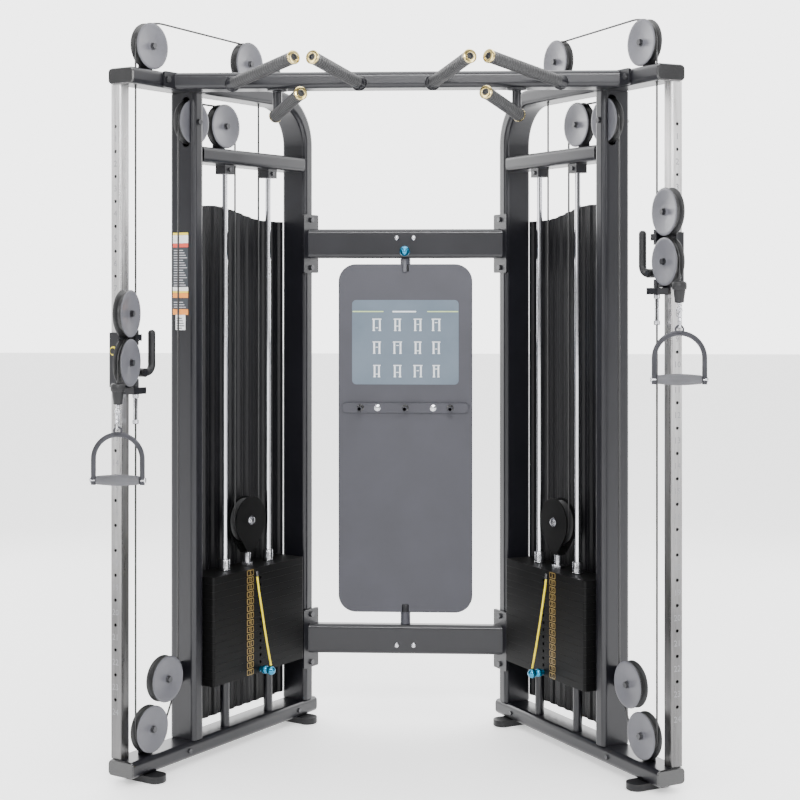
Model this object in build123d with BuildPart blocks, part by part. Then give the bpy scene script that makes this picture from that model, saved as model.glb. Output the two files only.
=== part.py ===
"""Cable crossover machine: two adjustable-pulley towers joined by beams.

Units are millimetres.  X runs across the machine, Y to the rear, Z up.
The shapes are drawn with X = 0 on the machine's centre line and Y = 0 at the front of
the towers; each finished piece is then moved so that the origin is on the floor under
the middle of the overall box.
Each tower has its own directions: "back" runs along its tubes, from the column to
the rear post, and "inward" runs square to them, towards the middle of the machine.
"""
from build123d import *
from math import acos, asin, atan2, cos, hypot, pi, radians, sin
import os

os.makedirs("parts", exist_ok=True)

# ---- driving dimensions -------------------------------------------------------
SIDES = {"left": -1, "right": 1}
TOWER_ANGLE = 30.0        # how far each tower is turned out from the Y axis
TOWER_X = 805.0           # front of each tower from the middle of the machine

TUBE_THICK = 50.0         # main tube, thin way
TUBE_WIDE = 100.0         # main tube, wide way
TUBE_ROUND = 14.0
TUBE_WALL = 3.0
FOOT_TALL = 22.0
BASE_TOP = FOOT_TALL + TUBE_THICK
TOP_UNDER = 2101.0        # underside of the top tube
TOP_TOP = TOP_UNDER + TUBE_THICK
TOP_MIDDLE = TOP_UNDER + TUBE_THICK / 2
TUBE_FRONT = -24.0        # front end of the base and top tubes, along "back"
BASE_REAR = 905.0
FRONT_POST = 275.5        # centre of the front post, along "back"
REAR_POST = 861.5
ARCH_RADIUS = 150.0       # centre line of the bend from top tube to rear post

COLUMN_WIDE = 40.0
COLUMN_ROUND = 5.0
COLUMN_WALL = 2.5
COLUMN_IN = -28.0         # column centre, along "inward"
HOLE_PITCH = 75.0
HOLE_RADIUS = 5.0
HOLE_FIRST = 250.0
HOLE_COUNT = 24

PLANE_IN = 18.0           # the plane that holds the cable, rods and stack
LINE_BACK = 18.0          # the cable's vertical line beside the column
CABLE_RADIUS = 3.0
CABLE_HOLE = 8.0          # radius of a hole that lets a cable through a tube
PULLEY_RADIUS = 71.0
WRAP_RADIUS = 62.0        # cable centre line on a pulley
PULLEY_HALF = 14.0
AXLE_RADIUS = 5.0
RUNNING = 0.05            # radial play on an axle
GAP = 0.5                 # play between curved faces that pass each other
OVERCUT = 1.0             # how far a cutting shape stands out of the piece it cuts
HEX_ACROSS = 17.0         # bolt heads
HEX_TALL = 7.0
SMALL_HEX = 13.0
SMALL_TALL = 5.0
WASHER_RADIUS = 11.0
WASHER_THICK = 2.0
SPACER_RADIUS = 9.0
SPACER_PLAY = 0.3
BRACKET_THICK = 5.0
BRACKET_GAP = 1.0

# pulley centres in the plane of the cable: (back, up)
TOP_FRONT = (LINE_BACK + WRAP_RADIUS, TOP_TOP + PULLEY_RADIUS + 3.0)
TOP_REAR = (556.0, TOP_FRONT[1])
STACK_MID = TOP_REAR[0]
CROSS = (STACK_MID - 2 * WRAP_RADIUS, 2010.0)
SLOT = (FRONT_POST, CROSS[1])
LOW_UPPER = (150.0, 285.0)
LOW_LOWER = (LINE_BACK + WRAP_RADIUS, BASE_TOP + PULLEY_RADIUS + 4.0)
FLOATING = (STACK_MID, 725.0)

CROSS_TUBE_UNDER = 1886.0
ROD_RADIUS = 9.5
ROD_SPACING = 228.0
RISER_RADIUS = 15.0
RISER_TOP = 230.0
PLATE_COUNT = 15
PLATE_PITCH = 23.0
STACK_LONG = 478.0
STACK_WIDE = 114.0
STACK_HOLE = ROD_RADIUS + GAP
SELECTOR_RADIUS = 5.0
STEM_RADIUS = 12.0

CARRIAGE_LOW = {"left": 1267.0, "right": 1567.0}   # centre of the lower pulley
CARRIAGE_STEP = 146.0                              # upper centre above the lower
SWIVEL = {"left": 17.7, "right": 5.0}              # yoke turned from the tower plane
SLEEVE_WIDE = 50.0
SLEEVE_PLAY = 0.6
SLEEVE_BELOW = 77.0       # sleeve's lower end under the lower pulley's centre
SLEEVE_ABOVE = 88.0
SPINE_RADIUS = 10.0
SPINE_BORE = 4.5
LUG_TALL = 20.0

STOP_TALL = 62.0
STOP_TOP_RADIUS = 22.0
STOP_END_RADIUS = 13.5
STOP_DROP = 58.0          # top of the cable stop under the lower pulley's centre
HOOK_TALL = 70.0
HANDLE_WIDE = 160.0
HANDLE_TALL = 165.0
HANDLE_BAND = 15.0
HANDLE_THICK = 9.0
EYE_RADIUS = 9.2
EYE_OUTER = 14.0
EYE_DROP = 3.0            # eye's centre under the middle of the link's lower bar
GRIP_RADIUS = 17.0
CROWN_DROP = 17.0         # top of the stirrup's band under the top of its eye

BEAM_Y = 152.0            # centre of the front beam
REAR_BEAM_Y = 727.0
REAR_BEAM_TALL = 100.0
REAR_BEAMS = (234.0, 1590.0)      # underside of each rear beam
FLANGE_THICK = 8.0

BOARD_WIDE = 460.0
BOARD_LOW = 375.0
BOARD_TALL = 1195.0
BOARD_THICK = 20.0
BOARD_ROUND = 60.0
PIVOT_RADIUS = 12.0
PLUNGER_RADIUS = 5.0
PLUNGER_UP = REAR_BEAMS[1] + 24.0
PIN_CLEAR = 4.5           # from the plunger's tip to the board's stub
PIN_OUT = 16.5            # shank that stands out of the beam

MIDDLE_X = 13.0           # middle of the overall box, from the centre line
MIDDLE_Y = 313.6          # and from the front of the towers

UP = Vector(0, 0, 1)
SLANT_SIN = sin(radians(TOWER_ANGLE))
SLANT_COS = cos(radians(TOWER_ANGLE))


# ---- places and directions ----------------------------------------------------
def back(side):
    """Unit vector along a tower's tubes, from the column to the rear post."""
    return Vector(-side * SLANT_SIN, SLANT_COS, 0)


def inward(side):
    """Unit vector square to a tower's tubes, towards the middle of the machine."""
    return Vector(-side * SLANT_COS, -SLANT_SIN, 0)


def place(side, u, v, z):
    """Point of a tower at u along back, v along inward and height z."""
    return Vector(side * TOWER_X, 0, 0) + back(side) * u + inward(side) * v + UP * z


def level(point, along):
    """Horizontal plane at a point, with its x along the given direction."""
    return Plane(origin=point, x_dir=along, z_dir=UP)


def upright(point, along):
    """Vertical plane that holds the given direction (x) and the vertical (y)."""
    return Plane(origin=point, x_dir=along, z_dir=along.cross(UP))


def facing(point, normal):
    """Vertical plane square to a horizontal direction; its y is vertical."""
    return Plane(origin=point, x_dir=UP.cross(normal), z_dir=normal)


def save(name, built):
    """Move a finished piece so that the origin is under the overall middle, and write it."""
    finished = built.part.moved(Location((-MIDDLE_X, -MIDDLE_Y, 0)))
    finished.label = name
    export_step(finished, f"parts/{name}.step")


def tube_section(long_way, short_way):
    """Rounded hollow section in the open sketch."""
    RectangleRounded(long_way, short_way, TUBE_ROUND)
    RectangleRounded(
        long_way - 2 * TUBE_WALL,
        short_way - 2 * TUBE_WALL,
        TUBE_ROUND - TUBE_WALL,
        mode=Mode.SUBTRACT,
    )


def box_at(plane, size_x, size_y, tall, mode=Mode.ADD):
    """Plain block that rises from a plane."""
    with BuildSketch(plane) as outline:
        Rectangle(size_x, size_y)
    extrude(outline.sketch, amount=tall, mode=mode)


def round_bar(point, direction, length, radius, mode=Mode.ADD):
    """Plain round bar from a point along a direction."""
    with BuildSketch(Plane(origin=point, z_dir=direction)) as outline:
        Circle(radius)
    extrude(outline.sketch, amount=length, mode=mode)


def hex_head(point, direction, across=HEX_ACROSS, tall=HEX_TALL):
    """Bolt head or nut, standing on a face at the point."""
    with BuildSketch(Plane(origin=point, z_dir=direction)) as outline:
        RegularPolygon(across / 2, 6, major_radius=False)
    extrude(outline.sketch, amount=tall)


# ---- frame --------------------------------------------------------------------
with BuildPart() as base_tubes:
    for side in SIDES.values():
        with BuildSketch(facing(place(side, TUBE_FRONT, 0, FOOT_TALL + TUBE_THICK / 2), back(side))):
            tube_section(TUBE_WIDE, TUBE_THICK)
        extrude(amount=BASE_REAR - TUBE_FRONT)
save("base_tubes", base_tubes)

SLOT_TALL = 2 * (PULLEY_RADIUS + 8)          # 8 mm of room over and under the pulley
SLOT_WIDE = 2 * (PULLEY_HALF + 2)            # and 2 mm on each side
with BuildPart() as front_posts:
    for side in SIDES.values():
        with BuildSketch(level(place(side, FRONT_POST, 0, BASE_TOP), back(side))):
            tube_section(TUBE_THICK, TUBE_WIDE)
        extrude(amount=TOP_UNDER - BASE_TOP)
        # slot, front and rear wall, for the pulley that turns inside the post
        slot_middle = place(side, FRONT_POST, PLANE_IN, SLOT[1])
        with BuildSketch(facing(slot_middle, back(side))):
            SlotOverall(SLOT_TALL, SLOT_WIDE, rotation=90)
        extrude(amount=TUBE_THICK, both=True, mode=Mode.SUBTRACT)
        # bore for that pulley's axle, right across the post
        with BuildSketch(facing(slot_middle, inward(side))):
            Circle(AXLE_RADIUS + RUNNING)
        extrude(amount=TUBE_WIDE, both=True, mode=Mode.SUBTRACT)
save("front_posts", front_posts)

# The top tube runs back from the column and bends down into the rear post.
with BuildPart() as arch_tubes:
    for side in SIDES.values():
        start = place(side, 0, 0, 0)
        with BuildLine(upright(start, back(side))) as arch_path:
            top_run = Line((TUBE_FRONT, TOP_MIDDLE), (REAR_POST - ARCH_RADIUS, TOP_MIDDLE))
            bend = JernArc(top_run @ 1, (1, 0), ARCH_RADIUS, -90)
            Line(bend @ 1, (REAR_POST, BASE_TOP))
        with BuildSketch(facing(place(side, TUBE_FRONT, 0, TOP_MIDDLE), back(side))):
            tube_section(TUBE_WIDE, TUBE_THICK)
        sweep(path=arch_path.wires()[0])
        # holes that the cable passes down through
        for cable_back in (LINE_BACK, TOP_REAR[0] + WRAP_RADIUS):
            hole = place(side, cable_back, PLANE_IN, TOP_UNDER - OVERCUT)
            round_bar(hole, UP, TUBE_THICK + 2 * OVERCUT, CABLE_HOLE, mode=Mode.SUBTRACT)
save("arch_tubes", arch_tubes)

CROSS_LONG = REAR_POST - FRONT_POST - TUBE_THICK
CLAMP_LONG = 46.0
CLAMP_WIDE = 40.0
CLAMP_TALL = 30.0
with BuildPart() as rod_crossmembers:
    for side in SIDES.values():
        middle = place(side, FRONT_POST + TUBE_THICK / 2, 0, CROSS_TUBE_UNDER + TUBE_THICK / 2)
        with BuildSketch(facing(middle, back(side))):
            tube_section(TUBE_WIDE, TUBE_THICK)
        extrude(amount=CROSS_LONG)
        for step in (-1, 1):
            rod_back = STACK_MID + step * ROD_SPACING / 2
            clamp = place(side, rod_back, PLANE_IN, CROSS_TUBE_UNDER - CLAMP_TALL)
            # clamp block under the tube, bored for the rod
            box_at(level(clamp, back(side)), CLAMP_LONG, CLAMP_WIDE, CLAMP_TALL)
            round_bar(clamp, UP, CLAMP_TALL + TUBE_WALL, ROD_RADIUS, mode=Mode.SUBTRACT)
        # opening that the two stack cables pass through
        for cable_back in (STACK_MID - WRAP_RADIUS, STACK_MID + WRAP_RADIUS):
            hole = place(side, cable_back, PLANE_IN, CROSS_TUBE_UNDER - OVERCUT)
            round_bar(hole, UP, TUBE_THICK + 2 * OVERCUT, CABLE_HOLE, mode=Mode.SUBTRACT)
save("rod_crossmembers", rod_crossmembers)

with BuildPart() as columns:
    for side in SIDES.values():
        with BuildSketch(level(place(side, 0, COLUMN_IN, BASE_TOP), back(side))):
            RectangleRounded(COLUMN_WIDE, COLUMN_WIDE, COLUMN_ROUND)
            RectangleRounded(
                COLUMN_WIDE - 2 * COLUMN_WALL,
                COLUMN_WIDE - 2 * COLUMN_WALL,
                COLUMN_ROUND - COLUMN_WALL,
                mode=Mode.SUBTRACT,
            )
        extrude(amount=TOP_UNDER - BASE_TOP)
        front = place(side, -COLUMN_WIDE / 2, COLUMN_IN, 0)
        hole_middle = HOLE_FIRST + (HOLE_COUNT - 1) * HOLE_PITCH / 2
        with BuildSketch(facing(front + UP * hole_middle, back(side))):
            with GridLocations(HOLE_PITCH, HOLE_PITCH, 1, HOLE_COUNT):
                Circle(HOLE_RADIUS)
        extrude(amount=COLUMN_WALL * 2, both=True, mode=Mode.SUBTRACT)
save("columns", columns)

# One front beam and two rear beams, mitred to bolted flange plates on the towers.
INNER_FACE = TUBE_WIDE / 2
BEAM_END = TOWER_X - (BEAM_Y + INNER_FACE * SLANT_SIN) * SLANT_SIN / SLANT_COS
REAR_END = TOWER_X - (REAR_BEAM_Y + INNER_FACE * SLANT_SIN) * SLANT_SIN / SLANT_COS
BEAM_BACK = (BEAM_Y + INNER_FACE * SLANT_SIN) / SLANT_COS
FLANGE_LONG = 200.0
FLANGE_ROUND = 6.0
REAR_FLANGE_WIDE = 84.0
FLANGE_BOLT = 86.0
REAR_FLANGE_BOLT = 82.0
BOLT_HOLE = 5.5
with BuildPart() as cross_beams:
    with BuildSketch(Plane(origin=(-BEAM_END, BEAM_Y, TOP_MIDDLE), x_dir=(0, 1, 0), z_dir=(1, 0, 0))):
        tube_section(TUBE_WIDE, TUBE_THICK)
    extrude(amount=2 * BEAM_END)
    for underside in REAR_BEAMS:
        beam_start = Vector(-REAR_END, REAR_BEAM_Y, underside + REAR_BEAM_TALL / 2)
        with BuildSketch(Plane(origin=beam_start, x_dir=(0, 1, 0), z_dir=(1, 0, 0))):
            tube_section(TUBE_THICK, REAR_BEAM_TALL)
        extrude(amount=2 * REAR_END)
        # bush for the board's pivot
        round_bar(Vector(0, REAR_BEAM_Y, underside - OVERCUT), UP,
                  REAR_BEAM_TALL + 2 * OVERCUT, PIVOT_RADIUS + RUNNING, mode=Mode.SUBTRACT)
    # bore for the plunger that holds the board
    plunger_start = Vector(0, REAR_BEAM_Y, PLUNGER_UP)
    round_bar(plunger_start, Vector(0, -1, 0), TUBE_THICK,
              PLUNGER_RADIUS + RUNNING, mode=Mode.SUBTRACT)
    for side in SIDES.values():
        cutter = place(side, 0, INNER_FACE + FLANGE_THICK, TOP_MIDDLE)
        split(bisect_by=Plane(origin=cutter, z_dir=inward(side)), keep=Keep.TOP)
    for side in SIDES.values():
        plate = place(side, BEAM_BACK, INNER_FACE, TOP_MIDDLE)
        with BuildSketch(facing(plate, inward(side))):
            RectangleRounded(FLANGE_LONG, TUBE_THICK, FLANGE_ROUND)
            with Locations((-FLANGE_BOLT, 0), (FLANGE_BOLT, 0)):
                Circle(BOLT_HOLE, mode=Mode.SUBTRACT)
        extrude(amount=FLANGE_THICK)
        for underside in REAR_BEAMS:
            plate = place(side, REAR_POST, INNER_FACE, underside + REAR_BEAM_TALL / 2)
            with BuildSketch(facing(plate, inward(side))):
                RectangleRounded(REAR_FLANGE_WIDE, FLANGE_LONG, FLANGE_ROUND)
                with Locations((0, REAR_FLANGE_BOLT), (0, -REAR_FLANGE_BOLT)):
                    Circle(BOLT_HOLE, mode=Mode.SUBTRACT)
            extrude(amount=FLANGE_THICK)
save("cross_beams", cross_beams)

with BuildPart() as guide_rods:
    for side in SIDES.values():
        for step in (-1, 1):
            foot = place(side, STACK_MID + step * ROD_SPACING / 2, PLANE_IN, BASE_TOP)
            round_bar(foot, UP, CROSS_TUBE_UNDER - BASE_TOP, ROD_RADIUS)
save("guide_rods", guide_rods)

# Rubber-topped tubes round the rods, which the weight plates rest on.
RISER_PAD_TALL = 12.0
RISER_PAD_RADIUS = 20.0
with BuildPart() as stack_risers:
    for side in SIDES.values():
        for step in (-1, 1):
            foot = place(side, STACK_MID + step * ROD_SPACING / 2, PLANE_IN, BASE_TOP)
            riser_tall = RISER_TOP - BASE_TOP
            round_bar(foot, UP, riser_tall, RISER_RADIUS)
            pad = foot + UP * (riser_tall - RISER_PAD_TALL)
            round_bar(pad, UP, RISER_PAD_TALL, RISER_PAD_RADIUS)
            round_bar(foot, UP, riser_tall, ROD_RADIUS + RUNNING, mode=Mode.SUBTRACT)
save("stack_risers", stack_risers)

# Corrugated guard on the outer side of each stack, with a wavy top edge.
SHROUD_IN = -46.0
SHROUD_THICK = 2.0
SHROUD_FRONT = FRONT_POST + TUBE_THICK / 2 + 1
SHROUD_REAR = REAR_POST - TUBE_THICK / 2 - 1
SHROUD_LOW = 95.0
SHROUD_TOP = 1716.0
SHROUD_CREST = 1758.0
RIB_COUNT = 12
RIB_DEEP = 5.0
RIB_BENDS = (0.3, 0.5, 0.8)      # where a rib bends, as parts of its length
TRIM_OUT = 5.0                   # how far the trimming outline passes the guard's edges
CREST_BACK = 170.0               # behind the guard's front edge
CREST_END = 370.0
with BuildPart() as shrouds:
    for side in SIDES.values():
        rib_long = (SHROUD_REAR - SHROUD_FRONT) / RIB_COUNT
        floor_plane = level(place(side, 0, 0, SHROUD_LOW), back(side))
        # y of the level plane points outward on one side and inward on the other
        outer = side * SHROUD_IN
        with BuildSketch(floor_plane):
            with BuildLine():
                edge = []
                for rib in range(RIB_COUNT):
                    rib_start = SHROUD_FRONT + rib * rib_long
                    edge += [
                        (rib_start, outer),
                        (rib_start + RIB_BENDS[0] * rib_long, outer),
                        (rib_start + RIB_BENDS[1] * rib_long, outer + side * RIB_DEEP),
                        (rib_start + RIB_BENDS[2] * rib_long, outer + side * RIB_DEEP),
                    ]
                edge.append((SHROUD_REAR, outer))
                other = [(x, y + side * SHROUD_THICK) for x, y in reversed(edge)]
                Polyline(*edge, *other, close=True)
            make_face()
        extrude(amount=SHROUD_CREST - SHROUD_LOW)
        # trim the top edge: a crest near the front, falling to a level rear half
        with BuildSketch(upright(place(side, 0, SHROUD_IN, 0), back(side))):
            with BuildLine():
                crest = Spline(
                    (SHROUD_FRONT - TRIM_OUT, SHROUD_CREST - 16),
                    (SHROUD_FRONT + CREST_BACK, SHROUD_CREST - 1),
                    (SHROUD_FRONT + CREST_END, SHROUD_TOP + 6),
                    (SHROUD_REAR + TRIM_OUT, SHROUD_TOP),
                    tangents=[(1, 0.1), (1, 0)],
                )
                Polyline(
                    crest @ 1,
                    (SHROUD_REAR + TRIM_OUT, SHROUD_CREST + TRIM_OUT),
                    (SHROUD_FRONT - TRIM_OUT, SHROUD_CREST + TRIM_OUT),
                    crest @ 0,
                )
            make_face()
        extrude(amount=4 * RIB_DEEP, both=True, mode=Mode.SUBTRACT)
save("shrouds", shrouds)

CAP_THICK = 6.0
CAP_TAPER = 25.0
PLUG_DEEP = 15.0
PLUG_PLAY = 0.5
with BuildPart() as end_caps:
    for side in SIDES.values():
        ends = (
            (TUBE_FRONT, FOOT_TALL + TUBE_THICK / 2, -1),
            (TUBE_FRONT, TOP_UNDER + TUBE_THICK / 2, -1),
            (BASE_REAR, FOOT_TALL + TUBE_THICK / 2, 1),
        )
        for end_back, end_up, way in ends:
            face = facing(place(side, end_back, 0, end_up), back(side) * way)
            with BuildSketch(face):
                RectangleRounded(TUBE_WIDE, TUBE_THICK, TUBE_ROUND)
            extrude(amount=CAP_THICK, taper=CAP_TAPER)
            with BuildSketch(face):
                RectangleRounded(
                    TUBE_WIDE - 2 * (TUBE_WALL + PLUG_PLAY),
                    TUBE_THICK - 2 * (TUBE_WALL + PLUG_PLAY),
                    TUBE_ROUND - TUBE_WALL - PLUG_PLAY,
                )
            extrude(amount=-PLUG_DEEP)
save("end_caps", end_caps)

# A pad crosses under each end of each base tube and shows on its inner side.
FOOT_LONG = 150.0
FOOT_WIDE = 62.0
FOOT_IN = 22.0
FOOT_BACKS = (55.0, REAR_POST - 30.0)
FOOT_BEVEL = 3.0
with BuildPart() as feet:
    for side in SIDES.values():
        for foot_back in FOOT_BACKS:
            with BuildSketch(level(place(side, foot_back, FOOT_IN, 0), inward(side))):
                SlotOverall(FOOT_LONG, FOOT_WIDE)
            extrude(amount=FOOT_TALL)
            chamfer(feet.edges(Select.LAST).group_by(Axis.Z)[0], FOOT_BEVEL)
save("feet", feet)

# ---- pulley brackets and fasteners -------------------------------------------
BRACKET_IN = PLANE_IN - PULLEY_HALF - BRACKET_GAP - BRACKET_THICK / 2
BRACKET_WIDE = 60.0
BRACKET_CROWN = 22.0      # radius of a plate round its axle
ARM_HALF = 32.0           # half height of the lower plate where it meets the post
STANDING = (
    (TOP_FRONT, TOP_TOP),
    (TOP_REAR, TOP_TOP),
    (CROSS, CROSS_TUBE_UNDER + TUBE_THICK),
    (LOW_LOWER, BASE_TOP),
)
with BuildPart() as pulley_brackets:
    for side in SIDES.values():
        # plates that stand on a tube, beside the pulley
        for (hub_back, hub_up), seat in STANDING:
            plate = upright(place(side, 0, BRACKET_IN, 0), back(side))
            with BuildSketch(plate):
                with BuildLine():
                    left_foot = (hub_back - BRACKET_WIDE / 2, seat)
                    right_foot = (hub_back + BRACKET_WIDE / 2, seat)
                    shoulder = Line(left_foot, (hub_back - BRACKET_CROWN, hub_up))
                    crown = RadiusArc(shoulder @ 1, (hub_back + BRACKET_CROWN, hub_up), BRACKET_CROWN)
                    Polyline(crown @ 1, right_foot, left_foot)
                make_face()
                with Locations((hub_back, hub_up)):
                    Circle(AXLE_RADIUS + RUNNING, mode=Mode.SUBTRACT)
            extrude(amount=BRACKET_THICK / 2, both=True)
        # plate from the front post to the upper pulley at the bottom
        hub_back, hub_up = LOW_UPPER
        post_face = FRONT_POST - TUBE_THICK / 2
        with BuildSketch(upright(place(side, 0, BRACKET_IN, 0), back(side))):
            with BuildLine():
                upper = Line((post_face, hub_up + ARM_HALF), (hub_back, hub_up + BRACKET_CROWN))
                nose = RadiusArc(upper @ 1, (hub_back, hub_up - BRACKET_CROWN), -BRACKET_CROWN)
                Polyline(nose @ 1, (post_face, hub_up - ARM_HALF), upper @ 0)
            make_face()
            with Locations((hub_back, hub_up)):
                Circle(AXLE_RADIUS + RUNNING, mode=Mode.SUBTRACT)
        extrude(amount=BRACKET_THICK / 2, both=True)
save("pulley_brackets", pulley_brackets)

FIXED_HUBS = (TOP_FRONT, TOP_REAR, CROSS, LOW_UPPER, LOW_LOWER)
FOOT_BOLT_DOWN = 25.0     # foot bolts under the top of the base tube
FOOT_BOLTS = (FRONT_POST - 45.0, REAR_POST - 60.0)
with BuildPart() as bolts:
    for side in SIDES.values():
        into = inward(side)
        # pulley axles: shank through bracket and pulley, head inside, nut behind
        for hub_back, hub_up in FIXED_HUBS:
            rear_face = place(side, hub_back, BRACKET_IN - BRACKET_THICK / 2, hub_up)
            shank = BRACKET_THICK + BRACKET_GAP + 2 * PULLEY_HALF + BRACKET_GAP
            round_bar(rear_face, into, shank, AXLE_RADIUS)
            round_bar(rear_face + into * shank, into, WASHER_THICK, WASHER_RADIUS)
            hex_head(rear_face + into * (shank + WASHER_THICK), into)
            hex_head(rear_face, into * -1)
            spacer = rear_face + into * BRACKET_THICK
            round_bar(spacer, into, BRACKET_GAP - SPACER_PLAY, SPACER_RADIUS)
        # axle of the pulley inside the front post
        outer_face = place(side, FRONT_POST, -INNER_FACE, SLOT[1])
        round_bar(outer_face, into, TUBE_WIDE, AXLE_RADIUS)
        hex_head(outer_face, into * -1)
        hex_head(outer_face + into * TUBE_WIDE, into)
        # flange bolts
        flange_spots = [(BEAM_BACK - FLANGE_BOLT, TOP_MIDDLE), (BEAM_BACK + FLANGE_BOLT, TOP_MIDDLE)]
        for underside in REAR_BEAMS:
            for step in (-REAR_FLANGE_BOLT, REAR_FLANGE_BOLT):
                flange_spots.append((REAR_POST, underside + REAR_BEAM_TALL / 2 + step))
        for spot_back, spot_up in flange_spots:
            spot = place(side, spot_back, INNER_FACE, spot_up)
            round_bar(spot, into, FLANGE_THICK, AXLE_RADIUS)
            hex_head(spot + into * FLANGE_THICK, into)
        # foot bolts of the front and rear posts
        for post_back in FOOT_BOLTS:
            foot_bolt = place(side, post_back, INNER_FACE, BASE_TOP - FOOT_BOLT_DOWN)
            hex_head(foot_bolt, into, SMALL_HEX, SMALL_TALL)
        # rod clamp bolts
        for step in (-1, 1):
            rod_back = STACK_MID + step * ROD_SPACING / 2
            clamp_bolt = place(
                side, rod_back, PLANE_IN + CLAMP_WIDE / 2, CROSS_TUBE_UNDER - CLAMP_TALL / 2
            )
            hex_head(clamp_bolt, into, SMALL_HEX, SMALL_TALL)
save("bolts", bolts)

# ---- cables -------------------------------------------------------------------
def tangent_run(first, first_turn, first_radius, second, second_turn, second_radius):
    """Ends of the straight run between two circles; a turn is +1 for anticlockwise."""
    gap_x = second[0] - first[0]
    gap_y = second[1] - first[1]
    lean = (second_turn * second_radius - first_turn * first_radius) / hypot(gap_x, gap_y)
    # circles that touch from inside meet at one point: rounding mustn't pass the limit
    angle = atan2(gap_y, gap_x) - asin(max(-1.0, min(1.0, lean)))
    leave = (
        first[0] + first_turn * first_radius * sin(angle),
        first[1] - first_turn * first_radius * cos(angle),
    )
    meet = (
        second[0] + second_turn * second_radius * sin(angle),
        second[1] - second_turn * second_radius * cos(angle),
    )
    return leave, meet


def arrival(point, centre):
    """Where a vertical run through the point touches a pulley."""
    return (point[0], centre[1])


def cable_route(start, hubs, end):
    """Straight runs and arcs from start, round each (centre, turn, radius), to end."""
    meets = [start]
    for first, second in zip(hubs, hubs[1:]):
        meets += tangent_run(*first, *second)
    meets.append(end)
    here = start
    for index, (centre, turn, radius) in enumerate(hubs):
        arrive = meets[2 * index] if index else arrival(start, centre)
        leave = meets[2 * index + 1] if index < len(hubs) - 1 else arrival(end, centre)
        if hypot(arrive[0] - here[0], arrive[1] - here[1]) > CABLE_RADIUS:
            Line(here, arrive)
        else:
            # two circles that touch: the arcs share this very point
            arrive = here
        first_angle = atan2(arrive[1] - centre[1], arrive[0] - centre[0])
        last_angle = atan2(leave[1] - centre[1], leave[0] - centre[0])
        turned = turn * ((turn * (last_angle - first_angle)) % (2 * pi))
        CenterArc(centre, radius, first_angle * 180 / pi, turned * 180 / pi)
        here = leave
    if hypot(end[0] - here[0], end[1] - here[1]) > CABLE_RADIUS:
        Line(here, end)


# The stiff cable stands off the front top pulley in a wide bow before it lies down on it.
BOW_RADIUS = 180.0
BOW_END = 118.0           # degrees round the pulley where the bow meets it
BOW_CENTRE = (
    TOP_FRONT[0] - (BOW_RADIUS - WRAP_RADIUS) * cos(radians(BOW_END)),
    TOP_FRONT[1] - (BOW_RADIUS - WRAP_RADIUS) * sin(radians(BOW_END)),
)
STACK_REAR = STACK_MID + WRAP_RADIUS
STACK_FRONT = STACK_MID - WRAP_RADIUS
ROOT_ROUTE = (
    (TOP_REAR, 1, WRAP_RADIUS),
    (BOW_CENTRE, 1, BOW_RADIUS),
    (TOP_FRONT, 1, WRAP_RADIUS),
    (LOW_LOWER, 1, WRAP_RADIUS),
    (LOW_UPPER, 1, WRAP_RADIUS),
    (SLOT, -1, WRAP_RADIUS),
    (CROSS, -1, WRAP_RADIUS),
)
STACK_ROUTE = ((FLOATING, -1, WRAP_RADIUS),)
with BuildPart() as main_cables:
    for side in SIDES.values():
        start = (STACK_REAR, CROSS[1])
        with BuildLine(upright(place(side, 0, PLANE_IN, 0), back(side))) as route:
            cable_route(start, ROOT_ROUTE, (STACK_FRONT, CROSS[1]))
        with BuildSketch(level(place(side, STACK_REAR, PLANE_IN, CROSS[1]), back(side))):
            Circle(CABLE_RADIUS)
        sweep(path=route.wires()[0])
save("main_cables", main_cables)

for name, side in SIDES.items():
    with BuildPart() as stack_cable:
        with BuildLine(upright(place(side, 0, PLANE_IN, 0), back(side))) as route:
            cable_route((STACK_REAR, CROSS[1]), STACK_ROUTE, (STACK_FRONT, CROSS[1]))
        with BuildSketch(level(place(side, STACK_REAR, PLANE_IN, CROSS[1]), back(side))):
            Circle(CABLE_RADIUS)
        sweep(path=route.wires()[0])
    save(f"{name}_stack_cable", stack_cable)

# ---- pulleys ------------------------------------------------------------------
GROOVE_HALF = 10.5
GROOVE_ROOT = WRAP_RADIUS - CABLE_RADIUS - GAP
GROOVE_ROOT_HALF = CABLE_RADIUS + 2 * GAP


def pulley(hub, axis):
    """Grooved pulley with a running bore, about a horizontal axis."""
    with BuildPart() as wheel:
        with BuildSketch(Plane(origin=hub, x_dir=axis, z_dir=axis.cross(UP))):
            with BuildLine():
                Polyline(
                    (-PULLEY_HALF, AXLE_RADIUS + RUNNING),
                    (-PULLEY_HALF, PULLEY_RADIUS),
                    (-GROOVE_HALF, PULLEY_RADIUS),
                    (-GROOVE_ROOT_HALF, GROOVE_ROOT),
                    (GROOVE_ROOT_HALF, GROOVE_ROOT),
                    (GROOVE_HALF, PULLEY_RADIUS),
                    (PULLEY_HALF, PULLEY_RADIUS),
                    (PULLEY_HALF, AXLE_RADIUS + RUNNING),
                    close=True,
                )
            make_face()
        revolve(axis=Axis(hub, axis))
    return wheel


FIXED_PULLEYS = {
    "pulley_top_front": TOP_FRONT,
    "pulley_top_rear": TOP_REAR,
    "pulley_cross": CROSS,
    "pulley_slot": SLOT,
    "pulley_low_upper": LOW_UPPER,
    "pulley_low_lower": LOW_LOWER,
    "pulley_floating": FLOATING,
}
for name, side in SIDES.items():
    for pulley_name, (hub_back, hub_up) in FIXED_PULLEYS.items():
        hub = place(side, hub_back, PLANE_IN, hub_up)
        save(f"{name}_{pulley_name}", pulley(hub, inward(side)))

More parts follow.
